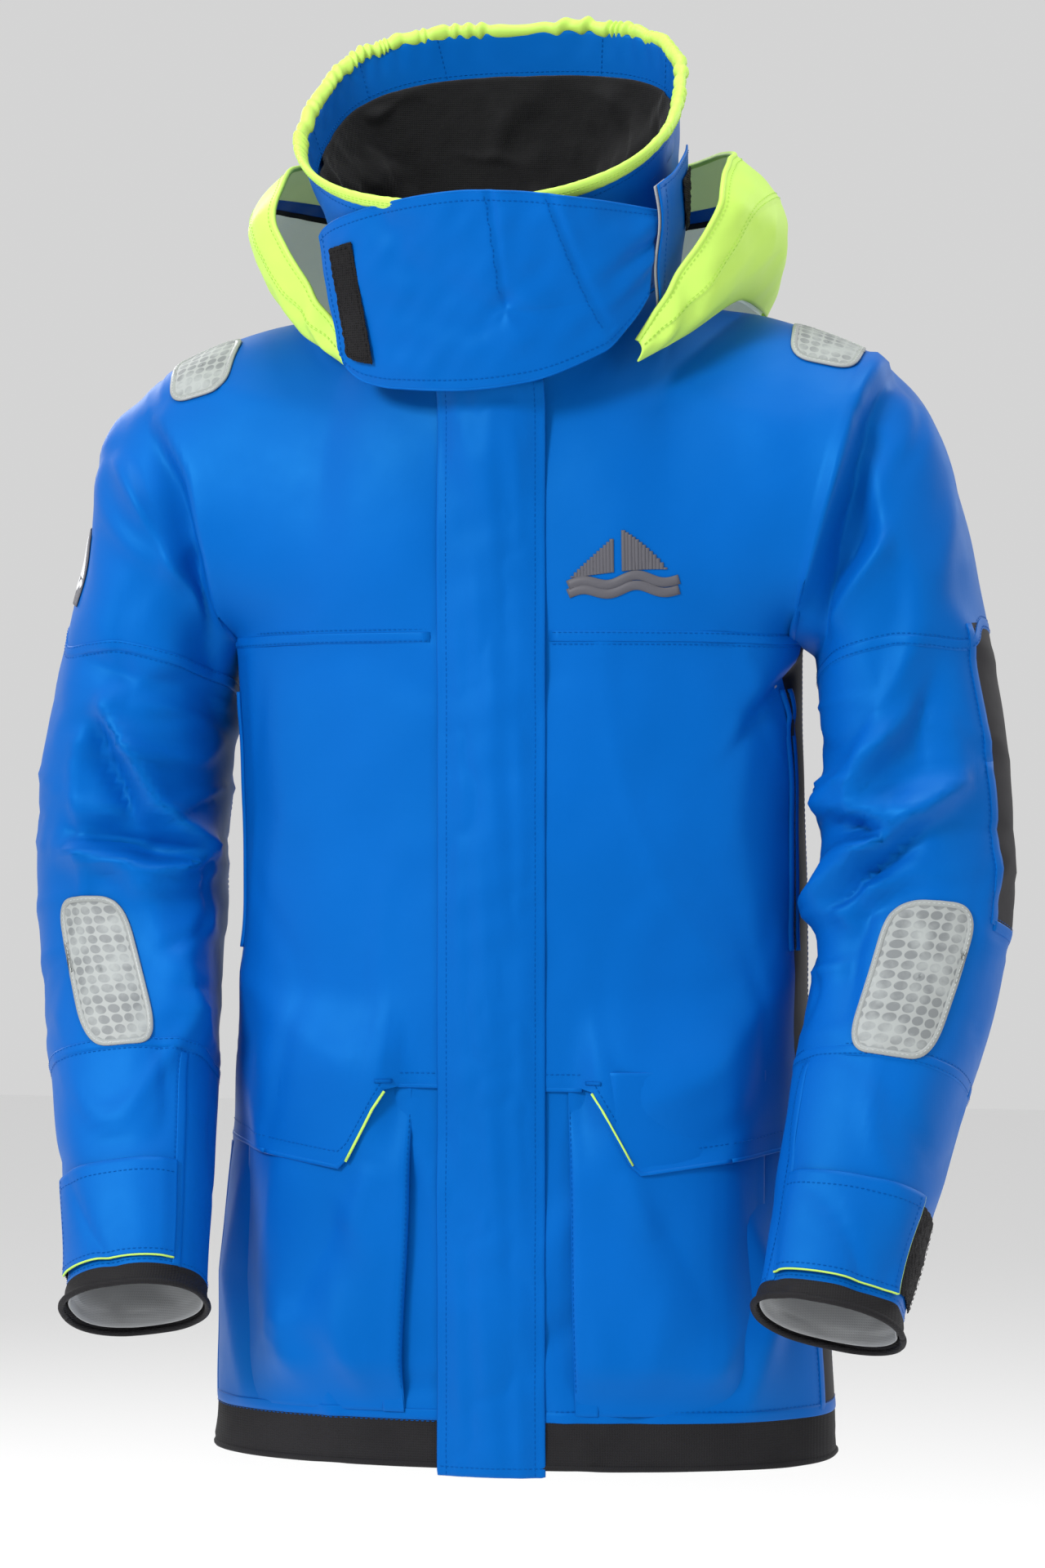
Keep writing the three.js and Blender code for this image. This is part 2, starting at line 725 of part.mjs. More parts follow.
// How far along the front yoke a point is that lies x from the middle, at a share of the yoke's height.
function yokeAlong(x, up) {
  let [low, high] = [0, 1];
  for (let step = 0; step < 30; step += 1) {
    const middle = (low + high) / 2;
    if (frontYoke(middle, up).x < x) low = middle;
    else high = middle;
  }
  return low;
}

const EMBLEM = { innerX: 50, outerX: 128, bottom: 0.13, top: 0.37 };
function chestEmblem() {
  return sheet(4, 2, (u, v, w) => {
    const up = mix(EMBLEM.bottom, EMBLEM.top, v);
    const along = yokeAlong(mix(EMBLEM.innerX, EMBLEM.outerX, u), up);
    return lifted(frontYoke, along, up, mix(OVERLAY_GAP + 0.5, OVERLAY_GAP + 1.2, w));
  });
}

// ---- Assembly ----

for (const [letter, side] of SIDES) {
  add(`front_panel_${letter}`, frontPanel(side), "shellBlue");
  add(`side_panel_${letter}`, sidePanel(side), "shellBlack");
  add(`hem_band_${letter}`, hemBand(side), "shellBlack");
  add(`yoke_front_${letter}`, yokeFront(side), "shellBlue");
  add(`cargo_pocket_${letter}`, cargoPocket(side), "shellBlue");
  add(`cargo_flap_${letter}`, cargoFlap(side), "shellBlue");
  add(`hand_pocket_zip_${letter}`, handPocketZip(side), "zip");
  add(`hand_pocket_slider_${letter}`, handPocketSlider(side), "zip");
  add(`hand_pocket_bag_${letter}`, handPocketBag(side), "lining");
  add(`zip_half_${letter}`, zipHalf(side), "zip");
  add(`hood_roll_${letter}`, hoodSheet(side, 12, 5, [0, 0.998], [0, 1], -1.6, 0), "hiVis");
  add(`hood_lining_${letter}`, hoodSheet(side, 10, 4, [0.998 / 6, 0.998], [0.2, 1], -6, -4.6), "lining");
  add(`upper_sleeve_${letter}`, sleeveTube(side, 0.03, ELBOW - 0.01, -CLOTH, 0, 6), "shellBlue");
  add(
    `forearm_sleeve_${letter}`,
    sleeveTube(side, ELBOW, CUFF_BAND_START, -CLOTH, 0, 6),
    "shellBlue",
  );
  add(
    `cuff_band_${letter}`,
    sleeveTube(side, CUFF_BAND_START + 0.02, CUFF_END, -CLOTH, 0.4, 1),
    "shellBlack",
  );
  add(`cuff_lining_${letter}`, sleeveTube(side, 9.6, CUFF_END - 0.15, -4.2, -2.8, 4), "lining");
  add(`cuff_tab_${letter}`, sleeveSheet(side, 7, 2, [30, 135], [11.05, 12.1], 3.6, 5.2), "shellBlue");
  add(
    `cuff_loop_patch_${letter}`,
    sleeveSheet(side, 5, 2, [-15, 60], [11.12, 12.04], OVERLAY_GAP, OVERLAY_GAP + 1.2),
    "hookLoop",
  );
  const outerEdge = side > 0 ? 60 : 75; // degrees round the sleeve, 90 being its front
  add(
    `forearm_reflector_${letter}`,
    sleeveSheet(side, 3, 4, [outerEdge, outerEdge + 45], [7.1, 9.35], OVERLAY_GAP + 0.3, OVERLAY_GAP + 1.1),
    "reflective",
  );
  add(`shoulder_reflector_${letter}`, shoulderReflector(side), "reflective");
}
add("back_panel", backPanel(), "shellBlue");
add("yoke_back", yokeBack(), "shellBlue");
add("body_lining", bodyLining(), "lining");
add("storm_flap", stormFlap(), "shellBlue");
add("inner_flap", innerFlap(), "shellBlue");
add("zip_slider", zipSlider(), "zip");
add("zip_puller", zipPuller(), "zip");
add("zip_box", zipBox(), "zip");
add("collar_shell", collarTube(0.02, 1, -CLOTH, 0, 4), "shellBlue");
add("collar_facing", collarTube(FACING_START, 0.985, -4.4, -3, 1), "shellBlue");
add("collar_lining", collarTube(0.05, FACING_START - 0.005, -5, -3.2, 4), "fleece");
add("collar_rim", collarRim(), "hiVis");
add("face_guard", guardSheet(10, 4, [0.01, 1], [0, 1], -GUARD_THICK, 0), "shellBlue");
add("face_guard_hook", guardSheet(1, 3, [0.86, 0.955], [0.1, 0.86], OVERLAY_GAP, OVERLAY_GAP + 1.1), "hookLoop");
add("collar_end_flap", collarEndFlap(), "shellBlue");
add("collar_loop_tab", collarLoopTab(), "hookLoop");
add("hanger_loop", hangerLoop(), "shellBlack");
add("hood_pouch", hoodPouch(), "hiVis");
add("chest_emblem", chestEmblem(), "print");
add("sleeve_badge", sleeveSheet(-1, 3, 3, [-7.5, 30], [2.35, 3.35], OVERLAY_GAP, OVERLAY_GAP + 0.7), "print");

export default jacket;
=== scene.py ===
"""A foul weather jacket for offshore sailing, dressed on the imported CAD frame.

Millimetres inside the surface functions, metres in Blender. +X is the wearer's left, -Y the front, +Z up.
"""

import math

import bpy
import numpy as np
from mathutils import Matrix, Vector
from mathutils.bvhtree import BVHTree


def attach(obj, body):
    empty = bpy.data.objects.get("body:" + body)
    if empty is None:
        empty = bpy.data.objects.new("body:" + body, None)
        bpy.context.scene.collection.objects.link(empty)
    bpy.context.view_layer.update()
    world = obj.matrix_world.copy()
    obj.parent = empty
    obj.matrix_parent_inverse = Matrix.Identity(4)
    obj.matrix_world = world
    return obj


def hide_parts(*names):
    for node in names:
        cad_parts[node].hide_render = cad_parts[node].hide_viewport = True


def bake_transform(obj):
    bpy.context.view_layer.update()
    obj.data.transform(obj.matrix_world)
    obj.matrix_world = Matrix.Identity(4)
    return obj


MM = 0.001
SIDES = [("L", 1, np.array([1, 1, 1])), ("R", -1, np.array([-1, 1, 1]))]  # letter, side, and what mirrors it

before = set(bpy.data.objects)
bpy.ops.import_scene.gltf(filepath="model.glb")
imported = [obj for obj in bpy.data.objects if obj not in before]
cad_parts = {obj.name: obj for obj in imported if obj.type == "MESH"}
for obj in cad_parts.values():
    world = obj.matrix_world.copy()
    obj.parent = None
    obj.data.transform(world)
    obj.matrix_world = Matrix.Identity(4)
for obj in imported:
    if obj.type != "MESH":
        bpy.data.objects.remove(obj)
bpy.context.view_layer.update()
scene = bpy.context.scene

# ---- Camera, lights, floor ----

CAMERA_DISTANCE, CAMERA_AZIMUTH, CAMERA_HEIGHT = 3.2, math.radians(12), -0.311
FOCAL_LENGTH, SENSOR_WIDTH, CLIP_END = 108.1, 36, 50
FLOOR_Z, FLOOR_HALF_WIDTH, FLOOR_GREY = -1.15, 9.0, 0.93
WORLD_STRENGTH = 0.66
# Area lights: name, place, what it looks at, width and height, power
LIGHTS = [
    ("key", (-1.6, -2.6, 1.3), (0, 0, -0.25), (0.8, 0.8), 78),
    ("fill", (2.4, -2.0, 0.5), (0, 0, -0.3), (0.8, 1.2), 9),
    ("top", (0.1, -0.4, 2.2), (0, 0, -0.1), (1.2, 0.8), 26),
    ("back_left", (-2.0, 2.2, 1.2), (0, 0, -0.2), (1.0, 1.6), 24),
    ("back_right", (2.0, 2.0, 1.0), (0, 0, -0.3), (1.0, 1.6), 18),
]


def add_object(name, data):
    made = bpy.data.objects.new(name, data)
    scene.collection.objects.link(made)
    return made


def make_camera():
    data = bpy.data.cameras.new("camera")
    data.lens, data.sensor_width, data.clip_end = FOCAL_LENGTH, SENSOR_WIDTH, CLIP_END
    camera = add_object("camera", data)
    camera.location = (
        CAMERA_DISTANCE * math.sin(CAMERA_AZIMUTH),
        -CAMERA_DISTANCE * math.cos(CAMERA_AZIMUTH),
        CAMERA_HEIGHT,
    )
    camera.rotation_euler = (math.radians(90), 0, CAMERA_AZIMUTH)
    scene.camera = camera


def make_studio():
    scene.world = bpy.data.worlds.new("studio")
    scene.world.use_nodes = True
    background = scene.world.node_tree.nodes["Background"]
    background.inputs["Color"].default_value = (1, 1, 1, 1)
    background.inputs["Strength"].default_value = WORLD_STRENGTH
    for name, location, target, size, power in LIGHTS:
        data = bpy.data.lights.new(name, "AREA")
        data.shape = "RECTANGLE"
        data.size, data.size_y = size
        data.energy = power
        light = add_object(name, data)
        light.location = location
        light.rotation_euler = (Vector(target) - Vector(location)).to_track_quat("-Z", "Y").to_euler()
    mesh = bpy.data.meshes.new("floor")
    r = FLOOR_HALF_WIDTH
    mesh.from_pydata([(-r, -r, 0), (r, -r, 0), (r, r, 0), (-r, r, 0)], [], [(0, 1, 2, 3)])
    floor = add_object("floor", mesh)
    floor.location.z = FLOOR_Z
    white = bpy.data.materials.new("floor_white")
    white.use_nodes = True
    shader = white.node_tree.nodes["Principled BSDF"]
    shader.inputs["Base Color"].default_value = (FLOOR_GREY, FLOOR_GREY, FLOOR_GREY, 1)
    shader.inputs["Roughness"].default_value = 0.9
    mesh.materials.append(white)
    scene.view_settings.view_transform = "Standard"


make_camera()
make_studio()

# ---- Curves ----


def mix(a, b, t):
    return a + (b - a) * t


def smooth(x, low=0.0, high=1.0):
    t = np.clip((x - low) / (high - low), 0, 1)
    return t * t * (3 - 2 * t)


def signed_power(value, power):
    return np.sign(value) * np.abs(value) ** power


def profile(stations):
    """A smooth curve through (position, value) stations in rising order, which never overshoots them."""
    at = np.array([s[0] for s in stations], float)
    value = np.array([s[1] for s in stations], float)
    slope = np.diff(value) / np.diff(at)
    tangent = np.zeros(len(at))
    tangent[0], tangent[-1] = slope[0], slope[-1]
    for i in range(1, len(at) - 1):
        before, after = slope[i - 1], slope[i]
        if before * after > 0:
            tangent[i] = 2 * before * after / (before + after)

    def curve(position):
        position = np.asarray(position, float)
        i = np.searchsorted(at[1:-1], position, side="left")
        width = at[i + 1] - at[i]
        t = (position - at[i]) / width
        return (
            value[i] * (1 + 2 * t) * (1 - t) ** 2
            + value[i + 1] * t * t * (3 - 2 * t)
            + width * t * (1 - t) * (tangent[i] * (1 - t) - tangent[i + 1] * t)
        )

    return curve


def stack(x, y, z):
    return np.stack(np.broadcast_arrays(x, y, z), -1).astype(float)


def unit(vectors):
    return vectors / np.maximum(np.linalg.norm(vectors, axis=-1, keepdims=True), 1e-9)


def steps(start, *stretches):
    """Numbers from start on, through stretches of (end, cells)."""
    runs = [np.array([start], float)]
    for end, cells in stretches:
        runs.append(np.linspace(runs[-1][-1], end, cells + 1)[1:])
    return np.concatenate(runs)


def grid(u0, u1, columns, v0, v1, rows):
    """Two arrays of (rows, columns): u across, v down."""
    return np.meshgrid(np.linspace(u0, u1, columns), np.linspace(v0, v1, rows))


def round_grid(columns, v0, v1, rows):
    """As grid, with u once round in radians and its end left out."""
    return np.meshgrid(np.linspace(0, 2 * math.pi, columns + 1)[:-1], np.linspace(v0, v1, rows))


def read_off(at, positions, values):
    """Rows of values, which belong to positions, read off at other positions."""
    return np.stack([np.interp(at, positions, column) for column in np.transpose(values)], -1)


def noise3(points, scale, seed=0):
    """Smooth noise from a few sine waves in fixed random directions, about -1 to 1. scale is in millimetres."""
    generator = np.random.default_rng(seed)
    total = np.zeros(points.shape[:-1])
    for _ in range(9):
        direction = generator.normal(size=3)
        direction /= np.linalg.norm(direction)
        frequency = 2 * math.pi / (scale * generator.uniform(0.6, 1.7))
        total += np.sin(points @ direction * frequency + generator.uniform(0, 2 * math.pi))
    return total / 3.6


def stretched_noise(points, stretch, scale, seed):
    return noise3(points * np.array(stretch), scale, seed)


def ridge(points, stretch, scale, seed, sharp):
    """Thin winding ridges where a smooth noise crosses zero."""
    return np.exp(-((stretched_noise(points, stretch, scale, seed) / sharp) ** 2))


def bump(x, middle, width):
    return np.exp(-(((x - middle) / width) ** 2))


# ---- The jacket's surfaces, as in the CAD model ----

YOKE_Z, BAND_TOP_Z, HEM_Z, PLACKET_BOTTOM_Z = -214, -727, -760, -766
BODY_POWER, BODY_MIDDLE_Y, BODY_HALF_DEPTH = 2.4, 5, 110
FRONT_EDGE_X, FRONT_Y = 17.2, -105
NECK_HALF_WIDTH, NECK_MIDDLE_Y, NECK_HALF_DEPTH = 96, -12, 93
RIM_HALF_WIDTH, RIM_MIDDLE_X, RIM_MIDDLE_Y, RIM_HALF_DEPTH = 126, -11, -50, 100
RIM_POWER, RIM_POWER_BEHIND, RIM_MIDDLE_Z, RIM_RISE = 2.25, 3.1, 131, 73
SLEEVE_POWER = 2.3
# Stations down the sleeve: outer x and z, inner x and z, middle y, half depth, and the front's tip in degrees
SLEEVE = [
    [248, -18, 192, -214, 5, 84, 0],
    [281, -58, 193.5, -226, 4, 84, 0],
    [297, -112, 196, -240, 3, 83, 2],
    [310, -168, 199, -256, 1, 82, 4],
    [323, -222, 202, -272, -1, 80, 6],
    [333, -280, 205, -308, -3, 77, 9],
    [338, -340, 206, -352, -6, 74, 12],
    [338, -398, 205, -398, -14, 71, 16],
    [332, -440, 203, -436, -28, 68, 19],
    [323, -482, 199, -472, -46, 65, 21],
    [311, -524, 194, -512, -68, 62, 23],
    [297, -580, 189, -566, -98, 57, 25],
    [283, -642, 184, -628, -133, 51, 25],
    [279, -663, 182.5, -649, -145, 50, 25],
]
CUFF_BAND_START, CUFF_END = 12.42, 13

body_half_width = profile(
    [(HEM_Z, 213), (BAND_TOP_Z, 213), (-650, 208), (-530, 199), (-430, 192), (YOKE_Z, 192)]
)


def body(angle, z):
    x = body_half_width(z) * signed_power(np.sin(angle), 2 / BODY_POWER)
    y = BODY_MIDDLE_Y - BODY_HALF_DEPTH * signed_power(np.cos(angle), 2 / BODY_POWER)
    return stack(x, y, z)


def body_angle(x, z):
    return np.arcsin((x / body_half_width(z)) ** (BODY_POWER / 2))


def neck(angle):
    front = (1 + np.cos(angle)) / 2
    y = NECK_MIDDLE_Y - NECK_HALF_DEPTH * np.cos(angle)
    return stack(NECK_HALF_WIDTH * np.sin(angle), y, 28 - 84 * front**4)


def rim(angle):
    """The collar's rim as it hangs: squarer behind than in front, and a little to the wearer's right."""
    power = mix(RIM_POWER, RIM_POWER_BEHIND, smooth(-np.cos(angle), -0.1, 0.5))
    forward = signed_power(np.cos(angle), 2 / power)
    x = RIM_HALF_WIDTH * signed_power(np.sin(angle), 2 / power) + RIM_MIDDLE_X
    return stack(x, RIM_MIDDLE_Y - RIM_HALF_DEPTH * forward, RIM_MIDDLE_Z - RIM_RISE * forward)


def collar(angle, height):
    height = np.asarray(height, float)
    point = mix(neck(angle), rim(angle), height[..., None])
    bulge = 5 * np.sin(math.pi * np.minimum(height, 1))
    point[..., 0] += bulge * np.sin(angle)
    point[..., 1] -= bulge * np.cos(angle)
    return point


sleeve_columns = [profile([(k, row[c]) for k, row in enumerate(SLEEVE)]) for c in range(7)]


def sleeve(angle, station):
    outer_x, outer_z, inner_x, inner_z, y, half, tip = [at(station) for at in sleeve_columns]
    across = signed_power(np.cos(angle), 2 / SLEEVE_POWER)
    forward = signed_power(np.sin(angle), 2 / SLEEVE_POWER) * half
    return stack(
        (outer_x + inner_x) / 2 + across * (outer_x - inner_x) / 2,
        y - forward * np.cos(np.radians(tip)),
        (outer_z + inner_z) / 2 + across * (outer_z - inner_z) / 2 + forward * np.sin(np.radians(tip)),
    )


def patch(bottom, top, start, end):
    """A surface filled in between four edge curves."""

    def surface(along, up):
        along, up = np.broadcast_arrays(np.asarray(along, float), np.asarray(up, float))
        a, u = along[..., None], up[..., None]
        zero, one = np.zeros_like(along), np.ones_like(along)
        rise = mix(bottom(along), top(along), u)
        cross = mix(start(up), end(up), a)
        corners = mix(mix(bottom(zero), bottom(one), a), mix(top(zero), top(one), a), u)
        return rise + cross - corners

    return surface


NECK_SHARE, SHOULDER_ANGLE = 0.46, math.radians(97)


def yoke_top(from_angle):
    shoulder_start = neck(np.array(SHOULDER_ANGLE))
    shoulder_end = sleeve(np.array(0.0), np.array(0.0))

    def top(along):
        along = np.asarray(along, float)
        round_neck = neck(mix(from_angle, SHOULDER_ANGLE, np.minimum(along, NECK_SHARE) / NECK_SHARE))
        out = np.clip((along - NECK_SHARE) / (1 - NECK_SHARE), 0, 1)
        line = mix(shoulder_start, shoulder_end, out[..., None])
        line[..., 2] += 9 * np.sin(math.pi * out)
        return np.where((along < NECK_SHARE)[..., None], round_neck, line)

    return top


START_ANGLE = float(body_angle(FRONT_EDGE_X, YOKE_Z))
front_top = yoke_top(math.asin(FRONT_EDGE_X / NECK_HALF_WIDTH))
flat_front_yoke = patch(
    lambda a: body(mix(START_ANGLE, math.pi / 2, a), YOKE_Z),
    front_top,
    lambda u: mix(body(START_ANGLE, YOKE_Z), front_top(np.array(0.0)), np.asarray(u)[..., None]),
    lambda u: sleeve(math.pi * (1 - u), np.zeros_like(u)),
)
back_centre_y = profile([(0, 115), (0.55, 118), (1, 81)])
back_yoke = patch(
    lambda a: body(math.pi - a * math.pi / 2, YOKE_Z),
    yoke_top(math.pi),
    lambda u: stack(0, back_centre_y(u), mix(YOKE_Z, 28, u)),
    lambda u: sleeve(math.pi * (1 + u), np.zeros_like(u)),
)


def front_yoke(along, up):
    point = flat_front_yoke(along, up)
    point[..., 1] -= 9 * np.sin(math.pi * np.asarray(along)) * np.sin(math.pi * np.asarray(up))
    return point

# ---- The cloth shell: one welded mesh, cut into pieces when it has its shape ----


SIDE_SHARE = 0.8618
FRONT_CELLS, SIDE_CELLS, YOKE_CELLS = 40, 6, 44
FLAP_ROWS, LOWER_ROWS, BAND_ROWS, HIDDEN_ROWS = 64, 34, 6, 10
BAND_ROW = FLAP_ROWS + LOWER_ROWS
FLAP_SIDE_Z, FLAP_INNER_X, FLAP_OUTER_X, FLAP_TOP_Z = -549, 66, 160, -446
HIDDEN_TOP_Z, BELOW_FLAP_INSET = -436, 3.2
SLEEVE_ROWS_PER_STATION, CUFF_BAND_ROWS = 9, 5
# Rows where the sleeve's pieces end, and the rows and columns of the black panel behind it
ARM_ROW, ELBOW_ROW, CUFF_ROW = 48, 77, 111
BACK_ROWS, BACK_COLUMNS = (33, 66), {"L": (8, 53), "R": (2, 53)}
ALONGS = steps(0, (SIDE_SHARE, FRONT_CELLS), (1, SIDE_CELLS))
FRONT = slice(0, FRONT_CELLS + 1)  # the part of ALONGS in front of the side panel


class Shell:
    """Grids of cloth welded along shared edges. Every face carries the name of its part."""

    def __init__(self):
        self.points, self.faces, self.parts = [], [], []
        # vertex numbers of each grid, by side
        self.front, self.rear_yoke, self.overlay, self.panel, self.rear, self.lower, self.rings = (
            {} for _ in range(7)
        )
        self.back_seam = self.rear_seam = None

    def add_face(self, quad, outward, part):
        self.faces.append(quad if outward else quad[::-1])
        self.parts.append(part)

    def grid(self, points, part, outward, first_row=None, last_row=None, first_column=None, last_column=None):
        """Adds a grid and returns its vertex numbers. Edges given as numbers are welded to those vertices, where
        they aren't negative. part gives a name from the cell's row and column."""
        rows, columns = points.shape[:2]
        index = -np.ones((rows, columns), int)
        for edge, given in (
            (np.s_[0], first_row),
            (np.s_[-1], last_row),
            (np.s_[:, 0], first_column),
            (np.s_[:, -1], last_column),
        ):
            if given is not None:
                index[edge] = np.where(given >= 0, given, index[edge])
        new = index < 0
        index[new] = len(self.points) + np.arange(new.sum())
        self.points.extend(points[new])
        for r in range(rows - 1):
            for c in range(columns - 1):
                quad = (index[r, c], index[r, c + 1], index[r + 1, c + 1], index[r + 1, c])
                self.add_face(quad, outward, part(r, c))
        return index


def normals_of(points, faces):
    """Vertex normals of a mesh of quads."""
    a, b, c, d = (points[faces[:, k]] for k in range(4))
    face_normals = np.cross(c - a, d - b)
    normals = np.zeros_like(points)
    for k in range(4):
        np.add.at(normals, faces[:, k], face_normals)
    return unit(normals)


def flap_edge(x):
    """Height of the front overlay's lower edge: level near the zip, a slanting end, then nearly level."""
    return np.interp(x, [FLAP_INNER_X - 1, FLAP_INNER_X + 1, 93, 158, 190], [-511, -514, -566, -556, FLAP_SIDE_Z])


def build_yokes(shell, letter, side, flip):
    ups = np.linspace(0, 1, YOKE_CELLS + 1)
    a, u = np.meshgrid(ALONGS, ups)
    front = shell.grid(front_yoke(a, u) * flip, lambda r, c: f"yoke_front_{letter}", side > 0)
    back = shell.grid(
        back_yoke(a, u) * flip,
        lambda r, c: f"yoke_back_{letter}",
        side < 0,
        last_row=np.where(ALONGS >= NECK_SHARE, front[-1], -1),
        last_column=np.where(np.arange(len(ups)) == 0, front[0, -1], -1),
        first_column=shell.back_seam,
    )
    shell.back_seam = back[:, 0]
    shell.front[letter], shell.rear_yoke[letter] = front, back


def build_overlay(shell, letter, side, flip):
    """The front from the yoke down to the flap's edge."""
    top_x = body(mix(START_ANGLE, math.pi / 2, ALONGS[FRONT]), YOKE_Z)[:, 0]
    bottom_z = flap_edge(top_x)
    bottom_z[-1] = FLAP_SIDE_Z
    z = YOKE_Z + np.linspace(0, 1, FLAP_ROWS + 1)[:, None] * (bottom_z - YOKE_Z)[None, :]
    points = body(mix(body_angle(FRONT_EDGE_X, z), math.pi / 2, ALONGS[None, FRONT]), z)

    def part(r, c):
        inside = FLAP_INNER_X - 3 <= top_x[c] < FLAP_OUTER_X and z[r, c] <= FLAP_TOP_Z
        return f"flap_{letter}" if inside else f"front_{letter}"

    shell.overlay[letter] = shell.grid(points * flip, part, side < 0, first_row=shell.front[letter][0, FRONT])


def build_sides(shell, letter, side, flip):
    """The side panel, the back panel, and the lower front, which goes up behind the overlay's edge."""
    front, back, overlay = shell.front[letter], shell.rear_yoke[letter], shell.overlay[letter]
    side_z = steps(YOKE_Z, (FLAP_SIDE_Z, FLAP_ROWS), (BAND_TOP_Z, LOWER_ROWS), (HEM_Z, BAND_ROWS))
    zz = side_z[:, None]
    side_a = ALONGS[FRONT_CELLS:]
    front_angles = mix(np.degrees(body_angle(FRONT_EDGE_X, zz)), 90, side_a[None, :])
    back_angles = np.broadcast_to(180 - side_a[::-1][1:] * 90, (len(side_z), SIDE_CELLS))
    points = body(np.radians(np.concatenate([front_angles, back_angles], 1)), zz)
    seam = -np.ones(len(side_z), int)
    seam[: FLAP_ROWS + 1] = overlay[:, -1]
    panel = shell.grid(
        points * flip,
        lambda r, c: f"hem_{letter}" if r >= BAND_ROW else f"side_{letter}",
        side < 0,
        first_row=np.concatenate([front[0, FRONT_CELLS:], back[0, FRONT_CELLS:][::-1][1:]]),
        first_column=seam,
    )
    points = body(np.radians(180 - 90 * ALONGS[FRONT][::-1])[None, :], zz)
    rear = shell.grid(
        points * flip,
        lambda r, c: f"hem_{letter}" if r >= BAND_ROW else "back",
        side < 0,
        first_row=back[0, FRONT][::-1],
        first_column=panel[:, -1],
        last_column=shell.rear_seam,
    )
    shell.rear_seam = rear[:, -1]

    hidden = np.linspace(HIDDEN_TOP_Z, FLAP_SIDE_Z, HIDDEN_ROWS + 1)[:-1]
    zz = np.concatenate([hidden, side_z[FLAP_ROWS:]])[:, None]
    angle = mix(body_angle(FRONT_EDGE_X, zz), math.pi / 2, ALONGS[None, FRONT])
    points = body(angle, zz)
    share = np.arange(FRONT_CELLS + 1) / FRONT_CELLS
    inset = BELOW_FLAP_INSET * (1 - smooth(-zz, -HIDDEN_TOP_Z, 640)) * np.ones_like(angle)
    inset = np.where(zz < FLAP_SIDE_Z - 1, inset * (1 - share), inset)
    inset[HIDDEN_ROWS, -1] = 0
    points[..., 1] += inset
    points[:HIDDEN_ROWS, :, 0] -= 2.5 * share**8
    seam = -np.ones(len(zz), int)
    seam[HIDDEN_ROWS:] = panel[FLAP_ROWS:, 0]
    lower = shell.grid(
        points * flip,
        lambda r, c: f"hem_{letter}" if r >= HIDDEN_ROWS + LOWER_ROWS else f"lower_{letter}",
        side < 0,
        last_column=seam,
    )
    shell.panel[letter], shell.rear[letter], shell.lower[letter] = panel, rear, lower


def build_sleeve(shell, letter, side, flip):
    """Rings from the armhole to the cuff. Each starts at its outer edge and goes down the front and up behind."""
    front, back = shell.front[letter], shell.rear_yoke[letter]
    stations = steps(0, (CUFF_BAND_START, CUFF_ROW), (CUFF_END, CUFF_BAND_ROWS))
    ring_angles = np.linspace(0, 2 * math.pi, 2 * YOKE_CELLS + 1)[:-1]
    points = sleeve(ring_angles[None, :], stations[:, None])
    outer, inner = BACK_COLUMNS[letter]

    def part(r, c):
        if r >= CUFF_ROW:
            return f"cuff_{letter}"
        piece = "arm" if r < ARM_ROW else "elbow" if r < ELBOW_ROW else "forearm"
        behind = BACK_ROWS[0] <= r < BACK_ROWS[1] and not outer <= c < inner
        return f"{piece}_back_{letter}" if behind else f"{piece}_{letter}"

    armhole = np.concatenate([front[::-1, -1], back[1:-1, -1]])
    ring = shell.grid(points * flip, part, side > 0, first_row=armhole)
    for r in range(len(stations) - 1):
        quad = (ring[r, -1], ring[r, 0], ring[r + 1, 0], ring[r + 1, -1])
        shell.add_face(quad, side > 0, part(r, ring.shape[1] - 1))
    shell.rings[letter] = ring


def build_shell():
    shell = Shell()
    for letter, side, flip in SIDES:
        for build in (build_yokes, build_overlay, build_sides, build_sleeve):
            build(shell, letter, side, flip)
    shell.points, shell.faces, shell.parts = map(np.array, (shell.points, shell.faces, shell.parts))
    return shell
shell = build_shell()

# ---- Folds ----

